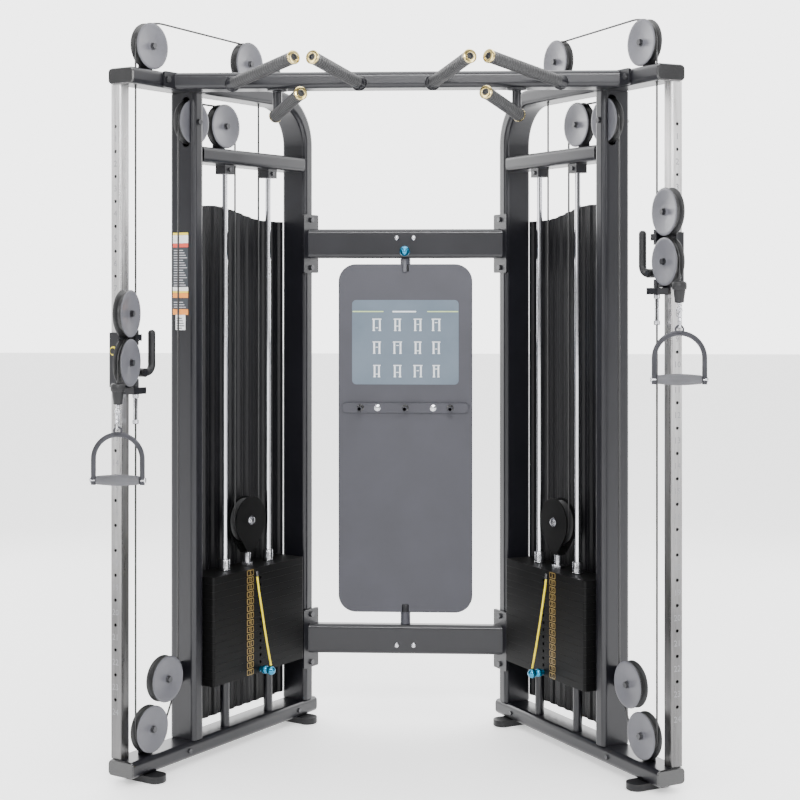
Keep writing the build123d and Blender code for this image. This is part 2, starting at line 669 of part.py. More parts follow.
# ---- weight stack -------------------------------------------------------------
STACK_LOW = RISER_TOP
PLATE_REAL = PLATE_PITCH - 0.4
FACE_IN = PLANE_IN + STACK_WIDE / 2
HEAD_LOW = STACK_LOW + (PLATE_COUNT - 1) * PLATE_PITCH
HEAD_TOP = HEAD_LOW + PLATE_REAL
COLLAR_TALL = 38.0
COLLAR_RADIUS = 16.5
CHEEK_RADIUS = 78.0
CHEEK_THICK = 4.0
CHEEK_IN = PULLEY_HALF + BRACKET_GAP
BLOCK_TOP = FLOATING[1] - PULLEY_RADIUS - 4      # 4 mm under the pulley's rim
BLOCK_LONG = 40.0
HEAD_BLOCK_TALL = 30.0
PLATE_ROUND = 8.0
CHEEK_SHOULDER = (62.0, 47.0)     # where the round cheek starts to narrow: aside, down
CHEEK_FOOT = 22.0


def plate_sketch(side, under):
    """Outline of a weight plate with its rod holes, in the open part."""
    with BuildSketch(level(place(side, STACK_MID, PLANE_IN, under), back(side))) as outline:
        RectangleRounded(STACK_LONG, STACK_WIDE, PLATE_ROUND)
        with GridLocations(ROD_SPACING, 1, 2, 1):
            Circle(STACK_HOLE, mode=Mode.SUBTRACT)
    return outline.sketch


def cheek_sketch(side, offset):
    """Teardrop side plate of the floating pulley, narrowing to the stem."""
    face = upright(place(side, 0, PLANE_IN + offset, 0), back(side))
    with BuildSketch(face) as outline:
        with Locations(FLOATING):
            Circle(CHEEK_RADIUS)
        with BuildLine():
            Polyline(
                (STACK_MID - CHEEK_SHOULDER[0], FLOATING[1] - CHEEK_SHOULDER[1]),
                (STACK_MID - CHEEK_FOOT, BLOCK_TOP - CHEEK_FOOT),
                (STACK_MID + CHEEK_FOOT, BLOCK_TOP - CHEEK_FOOT),
                (STACK_MID + CHEEK_SHOULDER[0], FLOATING[1] - CHEEK_SHOULDER[1]),
                close=True,
            )
        make_face()
    return outline.sketch


PIN_UP = STACK_LOW + PLATE_REAL / 2
KNOB_OUT = 2.0            # knob's rear face from the stack's inner face
NECK_LONG = 10.0
NECK_RADIUS = 9.0
WAIST_RADIUS = 8.0
INNER_BALL_RADIUS = 14.0
BALL_RADIUS = 15.0
INNER_BALL = 17.0         # middle of each ball, from the knob's rear face
OUTER_BALL = 41.0
BALL_IN = FACE_IN + KNOB_OUT + OUTER_BALL    # outer ball along "inward"
LANYARD_RADIUS = 3.5
LANYARD_BACK = STACK_MID - 28.0   # upper end of the cord: back, inward and up
LANYARD_IN = FACE_IN + 6.0
LANYARD_UP = HEAD_LOW + 10.0
ANCHOR_LONG = 12.0
ANCHOR_WIDE = 10.0
for name, side in SIDES.items():
    into = inward(side)
    with BuildPart() as weight_plates:
        for index in range(PLATE_COUNT - 1):
            under = STACK_LOW + index * PLATE_PITCH
            extrude(plate_sketch(side, under), amount=PLATE_REAL)
            middle = place(side, STACK_MID, PLANE_IN, under + PLATE_REAL / 2)
            # hole for the selector pin, from the inner face to past the stem
            round_bar(middle, into, STACK_WIDE, SELECTOR_RADIUS + GAP, mode=Mode.SUBTRACT)
        stem_foot = place(side, STACK_MID, PLANE_IN, STACK_LOW - OVERCUT)
        round_bar(stem_foot, UP, HEAD_LOW, STEM_RADIUS + 2 * GAP, mode=Mode.SUBTRACT)
    save(f"{name}_weight_plates", weight_plates)

    with BuildPart() as stack_head:
        extrude(plate_sketch(side, HEAD_LOW), amount=PLATE_REAL)
        # stem that hangs through the plates
        stem_low = place(side, STACK_MID, PLANE_IN, STACK_LOW + 1)
        round_bar(stem_low, UP, BLOCK_TOP - HEAD_BLOCK_TALL - STACK_LOW, STEM_RADIUS)
        for index in range(PLATE_COUNT - 1):
            hole_up = STACK_LOW + index * PLATE_PITCH + PLATE_REAL / 2
            round_bar(place(side, STACK_MID, PLANE_IN - STEM_RADIUS - OVERCUT, hole_up), into,
                      2 * (STEM_RADIUS + OVERCUT), SELECTOR_RADIUS + GAP, mode=Mode.SUBTRACT)
        # guide collars round the rods
        for step in (-1, 1):
            seat = place(side, STACK_MID + step * ROD_SPACING / 2, PLANE_IN, HEAD_TOP)
            round_bar(seat, UP, COLLAR_TALL, COLLAR_RADIUS)
            round_bar(seat, UP, COLLAR_TALL, STACK_HOLE, mode=Mode.SUBTRACT)
        # block and two cheeks that carry the floating pulley
        block = place(side, STACK_MID, PLANE_IN, BLOCK_TOP - HEAD_BLOCK_TALL)
        box_at(level(block, back(side)), BLOCK_LONG, 2 * CHEEK_IN, HEAD_BLOCK_TALL)
        for way in (-1, 1):
            offset = way * (CHEEK_IN + CHEEK_THICK / 2)
            extrude(cheek_sketch(side, offset), amount=CHEEK_THICK / 2, both=True)
        axle_start = place(side, STACK_MID, PLANE_IN - CHEEK_IN - CHEEK_THICK, FLOATING[1])
        axle_long = 2 * (CHEEK_IN + CHEEK_THICK)
        round_bar(axle_start, into, axle_long, AXLE_RADIUS)
        hex_head(axle_start + into * axle_long, into)
        hex_head(axle_start, into * -1)
    save(f"{name}_stack_head", stack_head)

    with BuildPart() as selector_pin:
        pin_tip = place(side, STACK_MID, PLANE_IN - STEM_RADIUS, PIN_UP)
        pin_face = FACE_IN - PLANE_IN + STEM_RADIUS + KNOB_OUT
        round_bar(pin_tip, into, pin_face + NECK_LONG / 2, SELECTOR_RADIUS)
        # two-ball knob, turned about the pin
        knob = pin_tip + into * pin_face
        with BuildSketch(Plane(origin=knob, x_dir=into, z_dir=into.cross(UP))):
            with Locations((NECK_LONG / 2, 0)):
                Rectangle(NECK_LONG, 2 * NECK_RADIUS)
            with Locations(((INNER_BALL + OUTER_BALL) / 2, 0)):
                Rectangle(OUTER_BALL - INNER_BALL, 2 * WAIST_RADIUS)
            with Locations((INNER_BALL, 0)):
                Circle(INNER_BALL_RADIUS)
            with Locations((OUTER_BALL, 0)):
                Circle(BALL_RADIUS)
            # only the half above the pin's axis is turned
            with Locations((OUTER_BALL / 2, -OUTER_BALL)):
                Rectangle(3 * OUTER_BALL, 2 * OUTER_BALL, mode=Mode.SUBTRACT)
        revolve(axis=Axis(knob, into))
    save(f"{name}_selector_pin", selector_pin)

    # yellow safety cord from the head plate down to the selector pin
    with BuildPart() as lanyard:
        cord_top = place(side, LANYARD_BACK, LANYARD_IN, LANYARD_UP)
        cord_end = place(side, STACK_MID, BALL_IN, PIN_UP + BALL_RADIUS + 2)
        with BuildLine() as route:
            Line(cord_top, cord_end)
        with BuildSketch(Plane(origin=cord_top, z_dir=cord_end - cord_top)):
            Circle(LANYARD_RADIUS)
        sweep(path=route.wires()[0])
        box_at(level(cord_top, back(side)), ANCHOR_LONG, ANCHOR_WIDE, ANCHOR_WIDE)
    save(f"{name}_lanyard", lanyard)

# ---- carriages ----------------------------------------------------------------
LOCK_UP = 33.0            # locking plunger above the lower pulley's centre
LUG_UP = 73.0             # middle of the upper lug above the lower pulley's centre
BLOCK_HIGH = -77.0        # top of the bottom block, from the lower pulley's centre
BLOCK_TALL = 20.0
JOURNAL_RADIUS = 8.0
SEAT_FLOOR = 4.0          # under the lower journal's seat
SWING_GAP = 0.5
PLATE_IN = PULLEY_HALF + BRACKET_GAP
LEVER_RADIUS = 11.5
LEVER_HUB = (48.0, -34.0)         # lever pivot: back, and above the lower pulley
LEVER_BEND = 24.0
LEVER_BACK = LEVER_HUB[0] + 18 + LEVER_BEND
LEVER_TOP = 95.0
LEVER_PIN = 4.0
LEVER_HALF = LEVER_RADIUS + GAP   # half the length of the lever's hub
EAR_OUT = -24.0           # lever's bracket on the sleeve: from and to, along "inward"
EAR_IN = PLANE_IN - LEVER_HALF - GAP
EAR_LONG = 34.0
EAR_TALL = 20.0
PIN_HEAD = 3.0
PIN_HEAD_RADIUS = 8.0
BASE_LONG = 56.0          # bottom block
BASE_WIDE = 40.0
LUG_LONG = 28.0
LUG_WIDE = 36.0
HOUSING_LONG = 11.0       # lock plunger's housing
HOUSING_RADIUS = 9.0
LINK_END = 12.0           # round ends of the turnbuckle
LINK_RADIUS = 9.0
LINK_BAR = 6.5            # its two bars, from the cable's line
LINK_BAR_RADIUS = 2.0
LINK_DROP = 90.0
PARTED = 27.0             # degrees round the upper pulley where the cable leaves its line


def swing_forward(side, name):
    """Direction from the yoke's axis to its pulleys."""
    turned = radians(SWIVEL[name])
    return back(side) * -cos(turned) + inward(side) * sin(turned)


def swing_inward(side, name):
    """Direction square to the yoke's pulleys, towards the middle."""
    turned = radians(SWIVEL[name])
    return inward(side) * cos(turned) + back(side) * sin(turned)


for name, side in SIDES.items():
    low = CARRIAGE_LOW[name]
    into = inward(side)
    along = back(side)
    with BuildPart() as carriage_sleeve:
        sleeve_low = low - SLEEVE_BELOW
        sleeve_tall = SLEEVE_BELOW + SLEEVE_ABOVE
        hollow = COLUMN_WIDE + 2 * SLEEVE_PLAY
        with BuildSketch(level(place(side, 0, COLUMN_IN, sleeve_low), along)):
            RectangleRounded(SLEEVE_WIDE, SLEEVE_WIDE, COLUMN_ROUND + 3)
        extrude(amount=sleeve_tall)
        # bottom block and upper lug, which hold the yoke's journals
        block_low = low + BLOCK_HIGH - BLOCK_TALL
        block = place(side, LINE_BACK, PLANE_IN - 2, block_low)
        box_at(level(block, along), BASE_LONG, BASE_WIDE, BLOCK_TALL)
        lug = place(side, LINE_BACK, PLANE_IN - 5, low + LUG_UP - LUG_TALL / 2)
        box_at(level(lug, along), LUG_LONG, LUG_WIDE, LUG_TALL)
        # bracket on the sleeve's rear face and the pin that the grip lever turns on
        ear_front = SLEEVE_WIDE / 2 - 1
        ear = place(side, ear_front + EAR_LONG / 2, (EAR_OUT + EAR_IN) / 2,
                    low + LEVER_HUB[1] - EAR_TALL / 2)
        box_at(level(ear, along), EAR_LONG, EAR_IN - EAR_OUT, EAR_TALL)
        lever_pin = place(side, LEVER_HUB[0], EAR_IN - 1, low + LEVER_HUB[1])
        pin_long = 1 + 2 * (LEVER_HALF + GAP)
        round_bar(lever_pin, into, pin_long + PIN_HEAD, LEVER_PIN)
        round_bar(lever_pin + into * pin_long, into, PIN_HEAD, PIN_HEAD_RADIUS)
        # plunger housing and ring on the sleeve's front face
        plunger = place(side, -SLEEVE_WIDE / 2 + 1, COLUMN_IN, low + LOCK_UP)
        round_bar(plunger, along * -1, HOUSING_LONG, HOUSING_RADIUS)
        # turnbuckle under the block, round the cable's line
        link_low = block_low - LINK_DROP
        link = place(side, LINE_BACK, PLANE_IN, link_low)
        round_bar(link, UP, LINK_END, LINK_RADIUS)
        round_bar(link + UP * (LINK_DROP - LINK_END), UP, LINK_END + 1, LINK_RADIUS)
        for way in (-1, 1):
            bar_foot = link + along * (way * LINK_BAR) + UP * (LINK_END / 2)
            round_bar(bar_foot, UP, LINK_DROP - LINK_END, LINK_BAR_RADIUS)
        # openings: column, journals and cable
        with BuildSketch(level(place(side, 0, COLUMN_IN, sleeve_low - OVERCUT), along)):
            RectangleRounded(hollow, hollow, COLUMN_ROUND + SLEEVE_PLAY)
        extrude(amount=sleeve_tall + 2 * OVERCUT, mode=Mode.SUBTRACT)
        axis_low = place(side, LINE_BACK, PLANE_IN, block_low + SEAT_FLOOR)
        round_bar(axis_low, UP, BLOCK_TALL, JOURNAL_RADIUS + RUNNING, mode=Mode.SUBTRACT)
        lug_low = place(side, LINE_BACK, PLANE_IN, low + LUG_UP - LUG_TALL / 2 - OVERCUT)
        round_bar(lug_low, UP, LUG_TALL + 2 * OVERCUT, JOURNAL_RADIUS + RUNNING,
                  mode=Mode.SUBTRACT)
        line_low = place(side, LINE_BACK, PLANE_IN, link_low - OVERCUT)
        round_bar(line_low, UP, LINK_DROP + BLOCK_TALL, SPINE_BORE, mode=Mode.SUBTRACT)
    save(f"{name}_carriage_sleeve", carriage_sleeve)

    with BuildPart() as carriage_grip:
        hub = place(side, LEVER_HUB[0], PLANE_IN, low + LEVER_HUB[1])
        with BuildLine(upright(place(side, 0, PLANE_IN, low), along)) as lever_path:
            foot = Line(LEVER_HUB, (LEVER_BACK - LEVER_BEND, LEVER_HUB[1]))
            turn = JernArc(foot @ 1, (1, 0), LEVER_BEND, 90)
            Line(turn @ 1, (LEVER_BACK, LEVER_TOP))
        with BuildSketch(facing(hub, along)):
            Circle(LEVER_RADIUS)
        sweep(path=lever_path.wires()[0])
        fillet(carriage_grip.edges().group_by(Axis.Z)[-1], LEVER_RADIUS - 1)
        round_bar(hub - into * LEVER_HALF, into, 2 * LEVER_HALF, LEVER_RADIUS + 2)
        bore = hub - into * (LEVER_HALF + OVERCUT)
        round_bar(bore, into, 2 * (LEVER_HALF + OVERCUT), LEVER_PIN + RUNNING,
                  mode=Mode.SUBTRACT)
    save(f"{name}_carriage_grip", carriage_grip)

    forward = swing_forward(side, name)
    aside = swing_inward(side, name)
    axis = place(side, LINE_BACK, PLANE_IN, low)
    hubs = (axis + forward * WRAP_RADIUS, axis + forward * WRAP_RADIUS + UP * CARRIAGE_STEP)
    with BuildPart() as pulley_yoke:
        # plate on the outer side of both pulleys, open round the carriage's lug
        foot_up = BLOCK_HIGH + SWING_GAP
        head_up = CARRIAGE_STEP + 22
        plate = axis - aside * (PLATE_IN + BRACKET_THICK / 2)
        with BuildSketch(upright(plate, forward)):
            with BuildLine():
                Polyline(
                    (-4, foot_up),
                    (WRAP_RADIUS + 10, foot_up + 30),
                    (WRAP_RADIUS + 22, 0),
                    (WRAP_RADIUS + 22, CARRIAGE_STEP),
                    (WRAP_RADIUS + 10, head_up),
                    (WRAP_RADIUS - 10, head_up),
                    (WRAP_RADIUS - 26, CARRIAGE_STEP),
                    (-4, LUG_UP + 26),
                    (-4, LUG_UP + 10.5),
                    (26, LUG_UP + 10.5),
                    (26, LUG_UP - 10.5),
                    (-4, LUG_UP - 10.5),
                    close=True,
                )
            make_face()
        extrude(amount=BRACKET_THICK / 2, both=True)
        # arms from the plate to the axis, under, below and above the pulleys' waist
        arms = (
            (foot_up, -52.0 - foot_up),
            (LUG_UP - 22.5, 12.0),
            (LUG_UP + 10.5, 12.0),
        )
        for arm_up, arm_tall in arms:
            arm = axis + UP * arm_up - aside * (PLATE_IN / 2 + 1) + forward * 3
            box_at(level(arm, forward), 14, PLATE_IN + 2, arm_tall)
            round_bar(axis + UP * arm_up, UP, arm_tall, SPINE_RADIUS)
        # journals in the block and the lug
        round_bar(axis + UP * (foot_up - BLOCK_TALL + 5), UP, BLOCK_TALL, JOURNAL_RADIUS)
        round_bar(axis + UP * (LUG_UP - 12), UP, 24, JOURNAL_RADIUS)
        round_bar(axis + UP * (BLOCK_HIGH - 30), UP, 240, SPINE_BORE, mode=Mode.SUBTRACT)
        # axles, each with a head inside and a nut behind the plate
        for hub in hubs:
            shank = PLATE_IN + BRACKET_THICK + PULLEY_HALF + BRACKET_GAP
            behind = hub - aside * (PLATE_IN + BRACKET_THICK)
            round_bar(behind, aside, shank, AXLE_RADIUS)
            round_bar(behind + aside * shank, aside, 2, 11)
            hex_head(behind + aside * (shank + 2), aside)
            hex_head(behind, aside * -1, 17, 5)
            round_bar(behind + aside * BRACKET_THICK, aside, BRACKET_GAP - 0.3, 9)
    save(f"{name}_pulley_yoke", pulley_yoke)
    save(f"{name}_carriage_pulley_lower", pulley(hubs[0], aside))
    save(f"{name}_carriage_pulley_upper", pulley(hubs[1], aside))

    # cable held by the yoke: down behind the upper pulley, round the front of the lower
    with BuildPart() as yoke_cable:
        cable_plane = upright(axis, forward)
        upper_hub = (WRAP_RADIUS, CARRIAGE_STEP)
        lower_hub = (WRAP_RADIUS, 0)
        with BuildLine(cable_plane) as route:
            half_turn = 180 / pi * acos(2 * WRAP_RADIUS / CARRIAGE_STEP)
            wrapped = 90 - half_turn
            first = CenterArc(upper_hub, WRAP_RADIUS, 180 + PARTED, wrapped - PARTED)
            second = CenterArc(lower_hub, WRAP_RADIUS, wrapped, -wrapped)
            Line(first @ 1, second @ 0)
            Line(second @ 1, (2 * WRAP_RADIUS, -STOP_DROP + GAP))
        with BuildSketch(Plane(origin=route.wires()[0] @ 0, z_dir=route.wires()[0] % 0)):
            Circle(CABLE_RADIUS)
        sweep(path=route.wires()[0])
    save(f"{name}_yoke_cable", yoke_cable)

    # cable stop, swivel link and handle hang from the front of the lower pulley
    hang = axis + forward * (2 * WRAP_RADIUS) - UP * STOP_DROP
    across = Vector(1, 0, 0)
    toward = Vector(0, 1, 0)
    stop_low = hang - UP * STOP_TALL
    link_top = stop_low - UP * 6
    with BuildPart() as cable_end:
        with BuildSketch(upright(hang, across)):
            with BuildLine():
                Polyline(
                    (0, 0),
                    (STOP_TOP_RADIUS - 6, 0),
                    (STOP_TOP_RADIUS, -7),
                    (STOP_TOP_RADIUS - 1, -20),
                    (STOP_END_RADIUS + 1, -STOP_TALL + 14),
                    (STOP_END_RADIUS, -STOP_TALL),
                    (0, -STOP_TALL),
                    close=True,
                )
            make_face()
        revolve(axis=Axis(hang, UP))
        round_bar(stop_low - UP * 10, UP, 12, 5)
        link_middle = link_top - UP * (HOOK_TALL / 2 + 2)
        with BuildSketch(upright(link_middle, toward)):
            SlotOverall(HOOK_TALL, 30, rotation=90)
            SlotOverall(HOOK_TALL - 14, 16, rotation=90, mode=Mode.SUBTRACT)
        extrude(amount=3.5, both=True)
    save(f"{name}_cable_end", cable_end)

    # D handle: eye, two cheeks and the bolt through the grip
    eye = link_middle - UP * (HOOK_TALL / 2 - 3.5 + EYE_DROP)
    half_wide = HANDLE_WIDE / 2
    grip_down = HANDLE_TALL - 20
    with BuildPart() as d_handle:
        # stirrup: half a ring on two straight limbs, with the eye on its crown
        limb_top = EYE_OUTER - half_wide - CROWN_DROP
        limb_low = -grip_down - EYE_OUTER
        with BuildSketch(upright(eye, across)):
            with Locations((0, limb_top)):
                Circle(half_wide)
                Circle(half_wide - HANDLE_BAND, mode=Mode.SUBTRACT)
            with Locations((0, limb_top - half_wide)):
                Rectangle(2 * HANDLE_WIDE, 2 * half_wide, mode=Mode.SUBTRACT)
            limb_middle = (limb_top + limb_low) / 2
            for way in (-1, 1):
                with Locations((way * (half_wide - HANDLE_BAND / 2), limb_middle)):
                    Rectangle(HANDLE_BAND, limb_top - limb_low)
            Circle(EYE_OUTER)
            Circle(EYE_RADIUS, mode=Mode.SUBTRACT)
        extrude(amount=HANDLE_THICK / 2, both=True)
        bolt_start = eye - across * half_wide - UP * grip_down
        round_bar(bolt_start, across, HANDLE_WIDE, AXLE_RADIUS)
        round_bar(bolt_start - across * 4, across, 4, 9)
        round_bar(bolt_start + across * HANDLE_WIDE, across, 4, 9)
    save(f"{name}_d_handle", d_handle)

    with BuildPart() as d_grip:
        grip_half = half_wide - HANDLE_BAND - 1
        grip_start = eye - across * grip_half - UP * grip_down
        round_bar(grip_start, across, 2 * grip_half, GRIP_RADIUS)
        fillet(d_grip.edges(), 4)
        round_bar(grip_start, across, 2 * grip_half, AXLE_RADIUS + RUNNING, mode=Mode.SUBTRACT)
    save(f"{name}_d_grip", d_grip)

# ---- pull-up handles ----------------------------------------------------------
HANDLE_GRIP = 19.0
HANDLE_TUBE = 14.0
PLUG_TALL = 8.0
PLUG_RADIUS = HANDLE_GRIP + 2
FOOT_SPARE = 30.0         # extra length of an upper handle before its foot is cut
FOOT_CUT = 180.0
BEAM_FRONT = BEAM_Y - TUBE_WIDE / 2
PULL_UPS = (
    ((502, BEAM_FRONT, TOP_MIDDLE - 12), (284, -165, TOP_MIDDLE + 30)),
    ((112, BEAM_FRONT, TOP_MIDDLE - 12), (226, -165, TOP_MIDDLE + 30)),
)
STRUT_X = 368.0
with BuildPart() as pullup_handles:
    for side in SIDES.values():
        for (foot_x, foot_y, foot_z), (tip_x, tip_y, tip_z) in PULL_UPS:
            foot = Vector(side * foot_x, foot_y, foot_z)
            tip = Vector(side * tip_x, tip_y, tip_z)
            reach = (tip - foot).normalized()
            length = (tip - foot).length
            round_bar(foot - reach * FOOT_SPARE, reach, length + FOOT_SPARE, HANDLE_GRIP)
            round_bar(tip, reach, PLUG_TALL, PLUG_RADIUS)
            # the foot is cut off flat where it is welded to the beam's front face
            with BuildSketch(Plane(origin=foot, x_dir=(1, 0, 0), z_dir=(0, 1, 0))):
                Rectangle(FOOT_CUT, FOOT_CUT)
            extrude(amount=FOOT_CUT / 2, mode=Mode.SUBTRACT)
        # lower handle: strut under the beam, grip reaching forward
        strut = Vector(side * STRUT_X, BEAM_Y - 12, 2012)
        round_bar(strut, UP, TOP_UNDER - 2012 - 6, HANDLE_TUBE)
        round_bar(strut + UP * (TOP_UNDER - 2012 - 6), UP, 6, 32)
        tip = Vector(side * 268, -70, 2056)
        reach = (tip - strut).normalized()
        length = (tip - strut).length
        start = strut + UP * 12 - reach * 16
        round_bar(start, reach, length, HANDLE_GRIP)
        round_bar(start - reach * PLUG_TALL, reach, PLUG_TALL, PLUG_RADIUS)
        round_bar(start + reach * length, reach, PLUG_TALL, PLUG_RADIUS)
        # bolt plug on top of the beam above the strut
        round_bar(Vector(side * STRUT_X, BEAM_Y - 12, TOP_TOP), UP, 10, 12)
save("pullup_handles", pullup_handles)

# ---- centre board -------------------------------------------------------------
BOARD_FRONT = REAR_BEAM_Y - BOARD_THICK / 2
BOARD_HIGH = BOARD_LOW + BOARD_TALL
RAIL_LOW = BOARD_HIGH - 510
RAIL_TALL = 34.0
RAIL_LONG = 435.0
PEG_SPACING = 154.0
PEG_RADIUS = 8.0
PEG_LONG = 56.0
with BuildPart() as board_panel:
    with BuildSketch(Plane(origin=(0, REAR_BEAM_Y, BOARD_LOW + BOARD_TALL / 2), x_dir=(1, 0, 0),
                           z_dir=(0, -1, 0))):
        RectangleRounded(BOARD_WIDE, BOARD_TALL, BOARD_ROUND)
    extrude(amount=BOARD_THICK / 2, both=True)
    chamfer(board_panel.faces().filter_by(Axis.Y).edges(), 1.5)
    # pivot stubs into the rear beams, and the collars that keep the board off them
    top_gap = REAR_BEAMS[1] - BOARD_HIGH
    low_gap = BOARD_LOW - REAR_BEAMS[0] - REAR_BEAM_TALL
    for foot_up, stub_tall, way in ((BOARD_HIGH - 1, top_gap, 1), (BOARD_LOW + 1, low_gap, -1)):
        foot = Vector(0, REAR_BEAM_Y, foot_up)
        round_bar(foot, UP * way, stub_tall + 1 + REAR_BEAM_TALL * 0.6, PIVOT_RADIUS)
        round_bar(foot, UP * way, stub_tall + 1 - GAP, PIVOT_RADIUS + 5)
save("board_panel", board_panel)

with BuildPart() as board_hooks:
    rail = Vector(0, BOARD_FRONT, RAIL_LOW + RAIL_TALL / 2)
    with BuildSketch(Plane(origin=rail, x_dir=(1, 0, 0), z_dir=(0, -1, 0))):
        RectangleRounded(RAIL_LONG, RAIL_TALL, RAIL_TALL / 2 - 1)
    extrude(amount=8)
    for step in (-1, 0, 1):
        peg = rail + Vector(step * PEG_SPACING, -8, 0)
        round_bar(peg, Vector(0, -1, 0), PEG_LONG, PEG_RADIUS)
    for step in (-1, 1):
        hex_head(rail + Vector(step * PEG_SPACING * 0.62, -8, 0), Vector(0, -1, 0), 13, 5)
save("board_hooks", board_hooks)

# Spring plunger in the upper rear beam; its tip bears on the board's upper stub.
with BuildPart() as board_pin:
    tip = Vector(0, REAR_BEAM_Y - PIVOT_RADIUS - PIN_CLEAR, PLUNGER_UP)
    shank = TUBE_THICK / 2 - PIVOT_RADIUS - PIN_CLEAR + PIN_OUT
    round_bar(tip, Vector(0, -1, 0), shank, PLUNGER_RADIUS)
    with Locations(Location(tip + Vector(0, -shank - 14, 0))):
        Sphere(18)
save("board_pin", board_pin)
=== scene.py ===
"""Cable crossover machine: materials, pulleys, cables, grips and printed panels.

Everything is in metres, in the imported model's frame: X across the machine, Y to the
rear, Z up, origin on the floor under the middle.  Each tower has its own directions,
back along its tubes and inward towards the middle of the machine.
"""
from math import cos, pi, radians, sin

import bmesh
import bpy
from mathutils import Matrix, Vector


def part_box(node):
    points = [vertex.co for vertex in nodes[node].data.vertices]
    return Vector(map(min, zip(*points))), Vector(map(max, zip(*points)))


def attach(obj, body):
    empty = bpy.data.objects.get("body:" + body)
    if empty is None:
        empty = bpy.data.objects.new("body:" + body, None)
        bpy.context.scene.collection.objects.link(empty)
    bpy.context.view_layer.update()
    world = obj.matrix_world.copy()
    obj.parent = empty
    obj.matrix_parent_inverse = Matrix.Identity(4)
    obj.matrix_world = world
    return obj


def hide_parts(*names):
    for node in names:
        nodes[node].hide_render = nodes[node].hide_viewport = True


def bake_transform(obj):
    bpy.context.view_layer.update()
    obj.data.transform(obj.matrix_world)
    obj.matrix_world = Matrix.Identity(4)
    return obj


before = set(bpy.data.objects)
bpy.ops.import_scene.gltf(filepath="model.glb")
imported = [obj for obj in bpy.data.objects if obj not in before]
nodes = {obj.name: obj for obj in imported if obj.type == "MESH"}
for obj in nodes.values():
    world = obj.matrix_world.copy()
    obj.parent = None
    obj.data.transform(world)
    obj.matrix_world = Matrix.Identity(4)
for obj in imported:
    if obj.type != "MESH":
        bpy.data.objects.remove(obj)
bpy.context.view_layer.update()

SIDES = {"left": -1, "right": 1}
TURN = radians(30)                      # how far each tower is turned out
TOWER_X = 0.805                         # front of a tower from the centre line
MIDDLE = Vector((0.0130, 0.3136, 0))    # middle of the model from the towers' origin
UP = Vector((0, 0, 1))
ACROSS = Vector((1, 0, 0))
TO_REAR = Vector((0, 1, 0))


def back(side):
    """Direction along a tower's tubes, from the column to the rear post."""
    return Vector((-side * sin(TURN), cos(TURN), 0))


def inward(side):
    """Direction square to a tower's tubes, towards the middle."""
    return Vector((-side * cos(TURN), -sin(TURN), 0))


def place(side, u, v, z):
    """Point of a tower at u along back, v along inward and height z."""
    return Vector((side * TOWER_X, 0, z)) + back(side) * u + inward(side) * v - MIDDLE


def centre(x, y, z):
    """Point measured from the centre line and the front of the towers."""
    return Vector((x, y, z)) - MIDDLE


def middle(node):
    """Middle of a node's box."""
    low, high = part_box(node)
    return (low + high) / 2


# ---- camera and lights ----------------------------------------------------------
camera_data = bpy.data.cameras.new("camera")
camera = bpy.data.objects.new("camera", camera_data)
bpy.context.scene.collection.objects.link(camera)
camera.location = (0.2450, -5.0955, 1.4977)
camera.rotation_euler = (radians(90), 0, radians(2.83))
camera_data.lens = 72.18
camera_data.sensor_width = 36
camera_data.shift_x = -0.0016
camera_data.shift_y = -0.1435
camera_data.clip_start = 0.05
camera_data.clip_end = 100
bpy.context.scene.camera = camera


def area_light(name, location, target, width, height, power):
    """Soft rectangular light aimed at a point."""
    data = bpy.data.lights.new(name, "AREA")
    data.shape = "RECTANGLE"
    data.size = width
    data.size_y = height
    data.energy = power
    lamp = bpy.data.objects.new(name, data)
    lamp.location = location
    aim = Vector(target) - Vector(location)
    lamp.rotation_euler = aim.to_track_quat("-Z", "Y").to_euler()
    bpy.context.scene.collection.objects.link(lamp)


area_light("key_left", (-3.6, -3.6, 3.0), (0, 0, 1.1), 1.6, 3.0, 95)
area_light("key_right", (3.9, -3.2, 2.6), (0, 0, 1.1), 1.2, 3.0, 85)
area_light("front_high", (0.3, -4.8, 3.7), (0, 0.1, 1.7), 2.6, 1.0, 285)
area_light("top", (0.2, -0.6, 4.4), (0, 0.2, 0), 3.2, 2.4, 110)
area_light("rear_left", (-2.8, 3.4, 2.4), (0, 0, 1.0), 1.2, 2.6, 60)
area_light("rear_right", (2.8, 3.4, 2.4), (0, 0, 1.0), 1.2, 2.6, 60)


